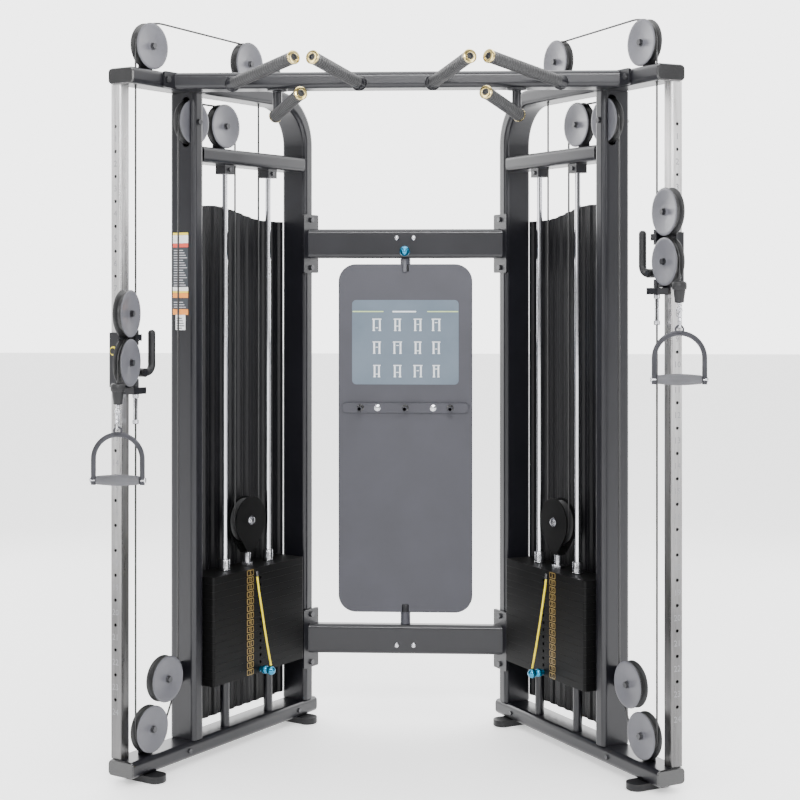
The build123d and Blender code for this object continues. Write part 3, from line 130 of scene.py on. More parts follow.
# ---- materials ------------------------------------------------------------------
def surface(name, dark, light, rough, patch=5.0, metallic=0.0, grain=500.0, depth=0.00006,
            stretch=(1, 1, 1), coat=0.0, edge=0.0, specular=0.5):
    """Material whose colour and roughness vary in patches and whose surface has a grain.

    patch and grain are noise scales, depth is the grain's height in metres, stretch
    makes the noise longer one way, and edge is the radius that softens sharp edges.
    """
    made = bpy.data.materials.new(name)
    made.use_nodes = True
    tree = made.node_tree
    shader = tree.nodes["Principled BSDF"]
    shader.inputs["Metallic"].default_value = metallic
    shader.inputs["Coat Weight"].default_value = coat
    shader.inputs["Coat Roughness"].default_value = 0.12
    shader.inputs["Specular IOR Level"].default_value = specular
    where = tree.nodes.new("ShaderNodeTexCoord")
    mapping = tree.nodes.new("ShaderNodeMapping")
    mapping.inputs["Scale"].default_value = stretch
    tree.links.new(where.outputs["Object"], mapping.inputs["Vector"])

    patches = tree.nodes.new("ShaderNodeTexNoise")
    patches.inputs["Scale"].default_value = patch
    patches.inputs["Detail"].default_value = 6
    patches.inputs["Roughness"].default_value = 0.6
    tree.links.new(mapping.outputs["Vector"], patches.inputs["Vector"])
    colours = tree.nodes.new("ShaderNodeValToRGB")
    for stop, position, tone in zip(colours.color_ramp.elements, (0.25, 0.75), (dark, light)):
        stop.position = position
        stop.color = (*tone, 1)
    tree.links.new(patches.outputs["Fac"], colours.inputs["Fac"])
    tree.links.new(colours.outputs["Color"], shader.inputs["Base Color"])

    fine = tree.nodes.new("ShaderNodeTexNoise")
    fine.inputs["Scale"].default_value = grain
    fine.inputs["Detail"].default_value = 3
    tree.links.new(mapping.outputs["Vector"], fine.inputs["Vector"])
    spread = tree.nodes.new("ShaderNodeMapRange")
    spread.inputs["To Min"].default_value = rough[0]
    spread.inputs["To Max"].default_value = rough[1]
    tree.links.new(patches.outputs["Fac"], spread.inputs["Value"])
    tree.links.new(spread.outputs["Result"], shader.inputs["Roughness"])

    bump = tree.nodes.new("ShaderNodeBump")
    bump.inputs["Strength"].default_value = 0.6
    bump.inputs["Distance"].default_value = depth
    tree.links.new(fine.outputs["Fac"], bump.inputs["Height"])
    tree.links.new(bump.outputs["Normal"], shader.inputs["Normal"])
    if edge:
        softened = tree.nodes.new("ShaderNodeBevel")
        softened.samples = 4
        softened.inputs["Radius"].default_value = edge
        tree.links.new(softened.outputs["Normal"], bump.inputs["Normal"])
    return made


def tiled(made, kind, scale, depth):
    """Adds a regular relief to a material: bands along z or a rubber's small cells."""
    tree = made.node_tree
    shader = tree.nodes["Principled BSDF"]
    where = tree.nodes.new("ShaderNodeTexCoord")
    if kind == "bands":
        relief = tree.nodes.new("ShaderNodeTexWave")
        relief.bands_direction = "Z"
        relief.inputs["Scale"].default_value = scale
        height = relief.outputs["Fac"]
    else:
        relief = tree.nodes.new("ShaderNodeTexVoronoi")
        relief.inputs["Scale"].default_value = scale
        height = relief.outputs["Distance"]
    tree.links.new(where.outputs["Object"], relief.inputs["Vector"])
    bump = tree.nodes.new("ShaderNodeBump")
    bump.inputs["Strength"].default_value = 0.7
    bump.inputs["Distance"].default_value = depth
    before = shader.inputs["Normal"].links[0].from_socket
    tree.links.new(height, bump.inputs["Height"])
    tree.links.new(before, bump.inputs["Normal"])
    tree.links.new(bump.outputs["Normal"], shader.inputs["Normal"])
    return made


def painted_light_by_height(made, low, high, dim, bright):
    """Scales a material's colour from dim at one height to bright at another: painted shade low
    down and painted light higher up.
    """
    tree = made.node_tree
    shader = tree.nodes["Principled BSDF"]
    where = tree.nodes.new("ShaderNodeTexCoord")
    split = tree.nodes.new("ShaderNodeSeparateXYZ")
    tree.links.new(where.outputs["Object"], split.inputs["Vector"])
    ramp = tree.nodes.new("ShaderNodeMapRange")
    ramp.inputs["From Min"].default_value = low
    ramp.inputs["From Max"].default_value = high
    ramp.inputs["To Min"].default_value = dim
    ramp.inputs["To Max"].default_value = bright
    tree.links.new(split.outputs["Z"], ramp.inputs["Value"])
    scaled = tree.nodes.new("ShaderNodeVectorMath")
    scaled.operation = "SCALE"
    before = shader.inputs["Base Color"].links[0].from_socket
    tree.links.new(before, scaled.inputs["Vector"])
    tree.links.new(ramp.outputs["Result"], scaled.inputs["Scale"])
    tree.links.new(scaled.outputs["Vector"], shader.inputs["Base Color"])


def grey(value, blue=1.06):
    """Slightly cool grey."""
    return (value, value * 1.005, value * blue)


PAINT = surface("frame_paint", grey(0.0048, 1.4), grey(0.0085, 1.4), (0.25, 0.36), patch=3.0,
                metallic=0.2, grain=900, depth=0.00004, coat=0.12, edge=0.0015)
PAINT_DARK = surface("shroud_sheet", grey(0.0022, 1.3), grey(0.0042, 1.3), (0.34, 0.46),
                     patch=4.0, grain=700, depth=0.00006, edge=0.001, specular=0.28)
COLUMN = surface("brushed_column_painted_light", (0.34, 0.335, 0.335), (0.62, 0.61, 0.61), (0.20, 0.38),
                 patch=5.0, metallic=0.9, grain=160, depth=0.00002, stretch=(14, 14, 0.7),
                 edge=0.001)
# painted light: the column is darkened towards its foot as painted shade and brightened towards
# its top as painted light
painted_light_by_height(COLUMN, low=0.5, high=1.9, dim=0.28, bright=1.6)
CHROME = surface("rod_chrome", grey(0.55), grey(0.78), (0.05, 0.14), patch=9.0, metallic=1.0,
                 grain=60, depth=0.00001, stretch=(6, 6, 0.5))
STEEL = surface("zinc_steel", grey(0.42), grey(0.66), (0.18, 0.32), patch=30, metallic=1.0,
                grain=800, depth=0.00002, edge=0.0008)
CAST = surface("cast_handle", grey(0.030, 1.16), grey(0.052, 1.16), (0.32, 0.44), patch=22,
               metallic=0.6, grain=700, depth=0.00008)
PULLEY = surface("pulley_face", grey(0.072, 1.16), grey(0.100, 1.16), (0.34, 0.48), patch=14,
                 grain=900, depth=0.00005, coat=0.1)
# dark groove material of the pulleys, also used to darken the pull-up plugs' socket wells as
# painted shade
GROOVE_AND_SOCKET_SHADE = surface("pulley_groove_and_socket_shade", grey(0.010), grey(0.018), (0.35, 0.5), patch=20, grain=600,
                 depth=0.00005)
IRON = surface("stack_iron", grey(0.0018), grey(0.0032), (0.46, 0.54), patch=9, grain=900,
               depth=0.00002, edge=0.0012, specular=0.12)
BOLT = surface("dark_bolt", grey(0.05), grey(0.11), (0.25, 0.4), patch=40, metallic=0.9,
               grain=800, depth=0.00002, edge=0.0008)
RUBBER = surface("black_rubber", grey(0.005, 1.15), grey(0.010, 1.15), (0.38, 0.52), patch=26,
                 grain=900, depth=0.00008, specular=0.35)
GRIP = tiled(surface("grip_foam", grey(0.016), grey(0.030), (0.48, 0.62), patch=24, grain=800,
                     depth=0.0001), "cells", 420, 0.0004)
GREY_GRIP = tiled(surface("grey_grip", grey(0.052, 1.12), grey(0.075, 1.12), (0.45, 0.6),
                          patch=30, grain=800, depth=0.0001), "cells", 600, 0.0003)
PLASTIC = surface("gloss_plastic", grey(0.008), grey(0.014), (0.16, 0.26), patch=20, grain=500,
                  depth=0.00003, coat=0.5, edge=0.002)
BLUE = surface("blue_anodised", (0.004, 0.16, 0.30), (0.008, 0.26, 0.46), (0.14, 0.22),
               patch=18, metallic=0.85, grain=900, depth=0.00002, coat=0.4)
CABLE = surface("cable_jacket", grey(0.008), grey(0.015), (0.30, 0.42), patch=60, grain=1200,
                depth=0.00004)
YELLOW = tiled(surface("yellow_braid", (0.62, 0.48, 0.01), (0.86, 0.70, 0.03), (0.5, 0.65),
                       patch=80, grain=1500, depth=0.0001), "bands", 160, 0.0005)
BOARD = surface("board_laminate", grey(0.032, 1.3), grey(0.043, 1.3), (0.42, 0.55), patch=7,
                grain=1100, depth=0.00006, edge=0.002)
GOLD = surface("yellow_zinc", (0.50, 0.38, 0.12), (0.72, 0.60, 0.30), (0.14, 0.26), patch=60,
               metallic=1.0, grain=700, depth=0.00003)
PLACARD = surface("placard", (0.090, 0.122, 0.160), (0.112, 0.148, 0.190), (0.30, 0.4), patch=8,
                  grain=900, depth=0.00002, coat=0.3)
PRINT_WHITE = surface("print_white", (0.62, 0.66, 0.68), (0.80, 0.83, 0.85), (0.4, 0.5),
                      patch=120, grain=900, depth=0.00002)
PRINT_GREEN = surface("print_green", (0.42, 0.56, 0.20), (0.52, 0.66, 0.28), (0.4, 0.5),
                      patch=90, grain=900, depth=0.00002)
PRINT_GOLD = surface("print_gold", (0.20, 0.13, 0.035), (0.32, 0.22, 0.065), (0.35, 0.45),
                     patch=90, grain=900, depth=0.00002)
PRINT_GREY = surface("print_grey", grey(0.16), grey(0.24), (0.4, 0.5), patch=90, grain=900,
                     depth=0.00002)
LABEL_BANDS = {
    "yellow": ((0.74, 0.56, 0.03), (0.84, 0.66, 0.06)),
    "white": ((0.66, 0.66, 0.66), (0.78, 0.78, 0.78)),
    "red": ((0.55, 0.05, 0.03), (0.66, 0.08, 0.05)),
    "dark": ((0.020, 0.024, 0.030), (0.032, 0.037, 0.045)),
    "orange": ((0.72, 0.22, 0.02), (0.82, 0.30, 0.04)),
    "grey": ((0.34, 0.34, 0.36), (0.44, 0.44, 0.46)),
}
LABELS = {
    shade: surface("label_" + shade, dark, light, (0.35, 0.45), patch=60, grain=900,
                   depth=0.00002)
    for shade, (dark, light) in LABEL_BANDS.items()
}


def dress(node, made):
    """Gives a node's object a finished material."""
    slots = nodes[node].material_slots
    if not slots:
        nodes[node].data.materials.append(made)
    for used in slots:
        used.material = made


DRESSING = {
    "base_tubes": PAINT,
    "front_posts": PAINT,
    "arch_tubes": PAINT,
    "rod_crossmembers": PAINT,
    "cross_beams": PAINT,
    "pulley_brackets": PAINT,
    "columns": COLUMN,
    "guide_rods": CHROME,
    "stack_risers": PAINT,
    "shrouds": PAINT_DARK,
    "end_caps": PLASTIC,
    "feet": RUBBER,
    "bolts": BOLT,
    "main_cables": CABLE,
    "board_panel": BOARD,
    "board_hooks": BOARD,
    "board_pin": BLUE,
    "pullup_handles": PAINT,
}
SIDE_DRESSING = {
    "weight_plates": IRON,
    "stack_head": IRON,
    "selector_pin": BLUE,
    "carriage_sleeve": PAINT,
    "carriage_grip": RUBBER,
    "pulley_yoke": PAINT,
    "yoke_cable": CABLE,
    "stack_cable": CABLE,
    "lanyard": YELLOW,
    "cable_end": RUBBER,
    "d_handle": CAST,
    "d_grip": GREY_GRIP,
}
for node, made in DRESSING.items():
    dress(node, made)
for name in SIDES:
    for node, made in SIDE_DRESSING.items():
        dress(f"{name}_{node}", made)


# ---- mesh helpers ---------------------------------------------------------------
SHARP = radians(38)


def add_mesh(name, points, faces, materials, zones=None):
    """Object from points and faces, with smooth shading that keeps sharp edges."""
    mesh = bpy.data.meshes.new(name)
    mesh.from_pydata([tuple(p) for p in points], [], faces)
    for made in materials:
        mesh.materials.append(made)
    if zones:
        mesh.polygons.foreach_set("material_index", zones)
    mesh.polygons.foreach_set("use_smooth", [True] * len(mesh.polygons))
    mesh.validate()
    tidy = bmesh.new()
    tidy.from_mesh(mesh)
    bmesh.ops.recalc_face_normals(tidy, faces=tidy.faces)
    tidy.to_mesh(mesh)
    tidy.free()
    mesh.set_sharp_from_angle(angle=SHARP)
    made_object = bpy.data.objects.new(name, mesh)
    bpy.context.scene.collection.objects.link(made_object)
    return made_object


def turned(name, origin, axis, profile, materials, zones=None, steps=64):
    """Turned piece: profile is (distance along the axis, radius) from end to end."""
    axis = axis.normalized()
    first = axis.orthogonal().normalized()
    second = axis.cross(first)
    points, faces, marks = [], [], []
    for along, radius in profile:
        for step in range(steps):
            angle = 2 * pi * step / steps
            spoke = first * cos(angle) + second * sin(angle)
            points.append(origin + axis * along + spoke * radius)
    for ring in range(len(profile) - 1):
        for step in range(steps):
            after = (step + 1) % steps
            low, high = ring * steps, (ring + 1) * steps
            faces.append((low + step, low + after, high + after, high + step))
            marks.append(zones[ring] if zones else 0)
    last = (len(profile) - 1) * steps
    faces.append(tuple(reversed(range(steps))))
    faces.append(tuple(range(last, last + steps)))
    marks += [marks[0], marks[-1]]
    return add_mesh(name, points, faces, materials, marks)


def swept(name, path, flat_normal, section, materials, closed=False):
    """Section carried along a path that lies in one plane, square to flat_normal."""
    flat_normal = flat_normal.normalized()
    count, around = len(path), len(section)
    points, faces = [], []
    for index, here in enumerate(path):
        if closed:
            run = path[(index + 1) % count] - path[index - 1]
        else:
            run = path[min(index + 1, count - 1)] - path[max(index - 1, 0)]
        sideways = flat_normal.cross(run.normalized())
        points += [here + sideways * a + flat_normal * b for a, b in section]
    for index in range(count if closed else count - 1):
        low, high = index * around, ((index + 1) % count) * around
        for step in range(around):
            after = (step + 1) % around
            faces.append((low + step, low + after, high + after, high + step))
    if not closed:
        last = (count - 1) * around
        faces.append(tuple(reversed(range(around))))
        faces.append(tuple(range(last, last + around)))
    return add_mesh(name, points, faces, materials)


def round_section(radius, steps=16):
    """Circle as offsets across and along the path's normal."""
    return [(radius * cos(2 * pi * k / steps), radius * sin(2 * pi * k / steps))
            for k in range(steps)]


def band_section(wide, thick, corner, steps=4):
    """Rectangle with rounded corners as offsets."""
    offsets = []
    corners = ((1, 1, 0), (-1, 1, 1), (-1, -1, 2), (1, -1, 3))
    for across, along, quarter in corners:
        for step in range(steps + 1):
            angle = pi / 2 * (quarter + step / steps)
            offsets.append((across * (wide / 2 - corner) + corner * cos(angle),
                            along * (thick / 2 - corner) + corner * sin(angle)))
    return offsets


def slab(name, low, right, up, wide, tall, corner, thick, materials):
    """Thin plate with rounded corners on a face; low is its lower left corner."""
    out = right.cross(up).normalized()
    outline = []
    for across, along in band_section(wide, tall, corner):
        outline.append(low + right * (wide / 2 + across) + up * (tall / 2 + along))
    count = len(outline)
    inset = min(thick, corner) * 0.4
    heart = low + right * (wide / 2) + up * (tall / 2)
    rings = [outline, [p + out * thick * 0.6 for p in outline],
             [p + (heart - p).normalized() * inset + out * thick for p in outline]]
    points = [p for ring in rings for p in ring]
    faces = []
    for ring in range(2):
        for step in range(count):
            after = (step + 1) % count
            a, b = ring * count, (ring + 1) * count
            faces.append((a + step, a + after, b + after, b + step))
    faces.append(tuple(range(2 * count, 3 * count)))
    faces.append(tuple(reversed(range(count))))
    return add_mesh(name, points, faces, materials)


def numbers(name, lines, low, right, up, size, pitch, body, made):
    """Column of printed numbers; low is the middle of the lowest one."""
    out = right.cross(up).normalized()
    for index, text in enumerate(lines):
        letters = bpy.data.curves.new(f"{name}_{index}", "FONT")
        letters.body = text
        letters.size = size
        letters.align_x = "CENTER"
        letters.align_y = "CENTER"
        letters.extrude = 0.0001
        letters.resolution_u = 2
        letters.materials.append(made)
        written = bpy.data.objects.new(f"{name}_{index}", letters)
        bpy.context.scene.collection.objects.link(written)
        facing = Matrix((right, up, out)).transposed().to_4x4()
        facing.translation = low + up * (pitch * index)
        written.matrix_world = facing
        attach(written, body)


# ---- cords ----------------------------------------------------------------------
def cord_points(name, route):
    """Points of a smooth line through a route's control points."""
    curve = bpy.data.curves.new(name, "CURVE")
    curve.dimensions = "3D"
    spline = curve.splines.new("NURBS")
    spline.points.add(len(route) - 1)
    for point, spot in zip(spline.points, route):
        point.co = (*spot, 1)
    spline.order_u = 3
    spline.use_endpoint_u = True
    spline.resolution_u = 8
    line = bpy.data.objects.new(name, curve)
    bpy.context.scene.collection.objects.link(line)
    bpy.context.view_layer.update()
    mesh = bpy.data.meshes.new_from_object(line)
    points = [v.co.copy() for v in mesh.vertices]
    bpy.data.objects.remove(line)
    return points


LANYARD_ROUTE = (                       # back, inward and up, from the head plate to the knob
    (0.5280, 0.0810, 0.5620),
    (0.5305, 0.0835, 0.5300),
    (0.5350, 0.0880, 0.4850),
    (0.5400, 0.0945, 0.4300),
    (0.5450, 0.1010, 0.3750),
    (0.5495, 0.1075, 0.3250),
    (0.5535, 0.1135, 0.2850),
    (0.5560, 0.1180, 0.2583),
)
LANYARD_THICK = 0.007
FERRULE_BEFORE = 0.004                  # the ferrule starts this far before the cord
# turned profiles here and below are (distance along the axis, radius)
FERRULE = ((0, 0.0036), (0.001, 0.0046), (0.016, 0.0046), (0.018, 0.0038))
for name, side in SIDES.items():
    route = [place(side, *spot) for spot in LANYARD_ROUTE]
    points = cord_points(name + "_lanyard_line", route)
    lean = (route[-1] - route[0]).normalized()
    lanyard = swept(name + "_lanyard_cord", points, lean.cross(inward(side)),
                    round_section(LANYARD_THICK / 2), [YELLOW])
    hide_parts(name + "_lanyard")
    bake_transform(lanyard)
    ferrule = turned(name + "_lanyard_ferrule", route[0] - lean * FERRULE_BEFORE, lean,
                     FERRULE, [PLASTIC], steps=24)
    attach(ferrule, name + "_stack")

# The two cables down to the stack are copied and cut into rings between the floating pulley's
# height and the cross pulley's.
CROSS_UP = 2.010
FLOATING_UP = 0.725
CABLE_RINGS = 60
for name, side in SIDES.items():
    mesh = nodes[name + "_stack_cable"].data.copy()
    cut = bmesh.new()
    cut.from_mesh(mesh)
    bmesh.ops.remove_doubles(cut, verts=cut.verts, dist=0.000001)
    for ring in range(1, CABLE_RINGS):
        height = FLOATING_UP + (CROSS_UP - FLOATING_UP) * ring / CABLE_RINGS
        parts = cut.verts[:] + cut.edges[:] + cut.faces[:]
        bmesh.ops.bisect_plane(cut, geom=parts, plane_co=(0, 0, height), plane_no=(0, 0, 1))
    cut.to_mesh(mesh)
    cut.free()
    mesh.materials.clear()
    mesh.materials.append(CABLE)
    run = bpy.data.objects.new(name + "_stack_run", mesh)
    bpy.context.scene.collection.objects.link(run)
    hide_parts(name + "_stack_cable")
    spot = middle(name + "_stack_cable")
    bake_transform(run)

# ---- pulleys --------------------------------------------------------------------
BORE = 0.00515
# half of a wheel, from the bore out over the face and into the groove
PULLEY_FACE = (
    (-0.0120, BORE),
    (-0.0136, 0.0070),
    (-0.0136, 0.0118),
    (-0.0126, 0.0130),
    (-0.0126, 0.0290),
    (-0.0132, 0.0310),
    (-0.0132, 0.0600),
    (-0.0139, 0.0622),
    (-0.0139, 0.0688),
    (-0.0132, 0.0703),
    (-0.0122, 0.0708),
    (-0.0108, 0.0708),
    (-0.0098, 0.0696),
    (-0.0052, 0.0606),
    (-0.0036, 0.0586),
)
FACE_RINGS = 9
PULLEYS = {
    "pulley_floating": "floating",
    "pulley_top_front": "top_front",
    "pulley_top_rear": "top_rear",
    "pulley_cross": "cross",
    "pulley_slot": "slot",
    "pulley_low_upper": "low_upper",
    "pulley_low_lower": "low_lower",
    "carriage_pulley_upper": "yoke_upper",
    "carriage_pulley_lower": "yoke_lower",
}
SWIVEL = {"left": radians(17.7), "right": radians(5.0)}     # each yoke's turn at rest


def yoke_inward(name, side):
    """Direction square to a yoke's pulleys, towards the middle."""
    return inward(side) * cos(SWIVEL[name]) + back(side) * sin(SWIVEL[name])


for name, side in SIDES.items():
    for node, body in PULLEYS.items():
        full = name + "_" + node
        axis = yoke_inward(name, side) if node.startswith("carriage") else inward(side)
        profile = list(PULLEY_FACE) + [(-a, r) for a, r in reversed(PULLEY_FACE)]
        half = len(PULLEY_FACE) - 1
        zones = [0 if ring < FACE_RINGS else 1 for ring in range(half)]
        zones = zones + [1] + zones[::-1]
        wheel = turned(full + "_wheel", middle(full), axis, profile, [PULLEY, GROOVE_AND_SOCKET_SHADE], zones,
                       steps=96)
        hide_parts(full)
        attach(wheel, name + "_" + body)

# ---- weight stacks --------------------------------------------------------------
PLATE_PITCH = 0.023
PLATE_COUNT = 15
STACK_LOW = 0.230
PLATE_TALL = 0.0226
FACE_IN = 0.075
STRIP_BACK = 0.5025
TAG_WIDE = 0.034
TAG_TALL = 0.0186
TAG_UP = 0.002                          # over the plate's lower edge
FIELD_IN = (0.0022, 0.002)              # the dark field's margins in a tag
FIELD_WIDE = 0.0296
FIELD_TALL = 0.0146
PRINT_LIFT = 0.0003
for name, side in SIDES.items():
    right = back(side) * -side
    for index in range(PLATE_COUNT):
        low = place(side, STRIP_BACK, FACE_IN, STACK_LOW + index * PLATE_PITCH + TAG_UP)
        low -= right * (TAG_WIDE / 2)
        tag = slab(f"{name}_plate_tag_{index}", low, right, UP, TAG_WIDE, TAG_TALL, 0.003,
                   0.0004, [PRINT_GOLD])
        field_low = low + right * FIELD_IN[0] + UP * FIELD_IN[1] + inward(side) * PRINT_LIFT
        field = slab(f"{name}_plate_field_{index}", field_low, right, UP, FIELD_WIDE,
                     FIELD_TALL, 0.002, 0.0003, [IRON])
        for piece in (tag, field):
            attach(piece, name + "_stack")
    weights = [str(5 * (PLATE_COUNT - index)) for index in range(PLATE_COUNT)]
    first = place(side, STRIP_BACK, FACE_IN + 0.0005, STACK_LOW + PLATE_TALL / 2)
    numbers(name + "_plate_number", weights, first + inward(side) * PRINT_LIFT, right, UP,
            0.017, PLATE_PITCH, name + "_stack", PRINT_GOLD)

STACK_MID = 0.556
ROD_HALF_SPACING = 0.114
HEAD_TOP = 0.5746
PLANE_IN = 0.018
CHEEK_OUT = 0.019
NUT_TALL = 0.011
ROD_COLLAR = ((0.0002, 0.0167), (0.0010, 0.0172), (0.0040, 0.0172), (0.0046, 0.0167),
              (0.0368, 0.0167), (0.0382, 0.0158), (0.0384, 0.0102))
STEM_NUT = ((0.0002, 0.0205), (0.0100, 0.0205), (0.0112, 0.0190), (0.0112, 0.0124))
STEM_SLEEVE = ((0, 0.0123), (0.0340, 0.0123), (0.0345, 0.0121))
FLOATING_BOLT = ((0, 0.0150), (0.0012, 0.0150), (0.0016, 0.0105), (0.0074, 0.0100),
                 (0.0084, 0.0080))
for name, side in SIDES.items():
    pieces = []
    for step, end in ((-1, "front"), (1, "rear")):
        seat = place(side, STACK_MID + step * ROD_HALF_SPACING, PLANE_IN, HEAD_TOP)
        pieces.append(turned(f"{name}_{end}_collar", seat, UP, ROD_COLLAR, [STEEL], steps=48))
    foot = place(side, STACK_MID, PLANE_IN, HEAD_TOP)
    pieces.append(turned(name + "_stem_nut", foot, UP, STEM_NUT, [STEEL], steps=6))
    pieces.append(turned(name + "_stem_sleeve", foot + UP * NUT_TALL, UP, STEM_SLEEVE, [STEEL],
                         steps=40))
    boss = place(side, STACK_MID, PLANE_IN + CHEEK_OUT, FLOATING_UP)
    pieces.append(turned(name + "_floating_bolt", boss, inward(side), FLOATING_BOLT, [STEEL],
                         steps=32))
    for piece in pieces:
        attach(piece, name + "_stack")

# ---- columns --------------------------------------------------------------------
COLUMN_IN = -0.028
COLUMN_FACE = -0.0202                   # back from the column's middle to its front face
HOLE_PITCH = 0.075
HOLE_FIRST = 0.250
HOLE_COUNT = 24
for name, side in SIDES.items():
    first = place(side, COLUMN_FACE, COLUMN_IN, HOLE_FIRST - HOLE_PITCH / 2)
    marks = [str(HOLE_COUNT - index) for index in range(HOLE_COUNT)]
    numbers(name + "_height_mark", marks, first, inward(side) * -side, UP, 0.026, HOLE_PITCH,
            "frame", PRINT_GREY)

# ---- carriages ------------------------------------------------------------------
LINE_BACK = 0.018
SLEEVE_FACE = -0.0258                   # back from the column's middle to the sleeve's front
RING_UP = 0.033                         # lock ring over the lower pulley's centre
BUCKLE_DOWN = 0.187                     # turnbuckle's foot under it
HEAD_UP = 0.078
LIMB_UP = 0.010
LIMB_OUT = 0.0065
LOCK_RING = ((0, 0.0095), (0.0008, 0.0135), (0.0040, 0.0140), (0.0062, 0.0125),
             (0.0068, 0.0098))
BUCKLE_FOOT = ((-0.0006, 0.0060), (0.0010, 0.0088), (0.0030, 0.0094), (0.0120, 0.0094),
               (0.0130, 0.0080))
BUCKLE_HEAD = ((-0.0010, 0.0080), (0, 0.0094), (0.0110, 0.0094), (0.0118, 0.0085))
BUCKLE_LIMB = ((0, 0.0024), (0.0340, 0.0024), (0.0355, 0.0029), (0.0385, 0.0029),
               (0.0400, 0.0024), (0.0700, 0.0024))
for name, side in SIDES.items():
    low = middle(name + "_carriage_pulley_lower").z
    ring = place(side, SLEEVE_FACE, COLUMN_IN, low + RING_UP)
    lock_ring = turned(name + "_lock_ring", ring, back(side) * -1, LOCK_RING, [YELLOW])
    foot = place(side, LINE_BACK, PLANE_IN, low - BUCKLE_DOWN)
    buckle = [
        lock_ring,
        turned(name + "_buckle_foot", foot, UP, BUCKLE_FOOT, [STEEL], steps=40),
        turned(name + "_buckle_head", foot + UP * HEAD_UP, UP, BUCKLE_HEAD, [STEEL], steps=40),
    ]
    for way, end in ((-1, "front"), (1, "rear")):
        limb = foot + back(side) * (way * LIMB_OUT) + UP * LIMB_UP
        buckle.append(turned(f"{name}_buckle_{end}", limb, UP, BUCKLE_LIMB, [STEEL], steps=20))
    for piece in buckle:
        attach(piece, name + "_carriage")

# ---- cable stops, snap hooks and handles ----------------------------------------
STOP_PROFILE = (
    (0.0, 0.0036),
    (0.0, 0.0150),
    (0.0015, 0.0185),
    (0.0060, 0.0212),
    (0.0140, 0.0218),
    (0.0215, 0.0210),
    (0.0235, 0.0196),
    (0.0240, 0.0178),
    (0.0400, 0.0158),
    (0.0450, 0.0150),
    (0.0480, 0.0142),
    (0.0590, 0.0136),
    (0.0612, 0.0125),
    (0.0620, 0.0100),
)
STOP_TALL = 0.062
HOOK_TALL = 0.070
HOOK_HALF = 0.0125
HOOK_WIRE = 0.0032
HOOK_STEPS = 24                         # along each half turn
HOOK_UNDER = 0.008                      # hook's top under the stop
GATE_DOWN = 0.014
HOOK_COLLAR_DOWN = 0.018
SWIVEL_EYE = ((-0.001, 0.0050), (0.0020, 0.0062), (0.0048, 0.0062), (0.0060, 0.0040),
              (0.0095, 0.0036), (0.0100, 0.0028))
HOOK_GATE = ((0, 0.0034), (0.0010, 0.0046), (0.0090, 0.0048), (0.0100, 0.0041),
             (0.0200, 0.0041), (0.0210, 0.0048), (0.0270, 0.0046), (0.0280, 0.0034))
HOOK_COLLAR = ((0, 0.0060), (0.0012, 0.0092), (0.0050, 0.0098), (0.0120, 0.0078),
               (0.0140, 0.0050))
for name, side in SIDES.items():
    node = name + "_cable_end"
    spot = middle(node)
    hang = Vector((spot.x, spot.y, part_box(node)[1].z))
    body = name + "_pull"
    stop = turned(name + "_cable_stop", hang, UP * -1, STOP_PROFILE, [RUBBER], steps=72)
    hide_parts(node)
    swivel = turned(name + "_swivel", hang - UP * STOP_TALL, UP * -1, SWIVEL_EYE, [STEEL],
                    steps=40)
    # hook: an upright loop of wire with a sliding gate on one limb
    top = hang.z - STOP_TALL - HOOK_UNDER
    heart = Vector((hang.x, hang.y, top - HOOK_TALL / 2))
    bow = HOOK_TALL / 2 - HOOK_HALF - HOOK_WIRE
    loop = []
    for first_angle, shift in ((0, bow), (pi, -bow)):
        for step in range(HOOK_STEPS + 1):
            angle = first_angle + pi * step / HOOK_STEPS
            loop.append(heart + TO_REAR * HOOK_HALF * cos(angle) +
                        UP * (shift + HOOK_HALF * sin(angle)))
    hook = swept(name + "_hook_wire", loop, ACROSS, round_section(HOOK_WIRE), [STEEL],
                 closed=True)
    gate = turned(name + "_hook_gate", heart - TO_REAR * HOOK_HALF - UP * GATE_DOWN, UP,
                  HOOK_GATE, [STEEL], steps=32)
    collar = turned(name + "_hook_collar", heart + UP * (HOOK_TALL / 2 - HOOK_COLLAR_DOWN), UP,
                    HOOK_COLLAR, [STEEL], steps=40)
    for piece in (stop, swivel, hook, gate, collar):
        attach(piece, body)

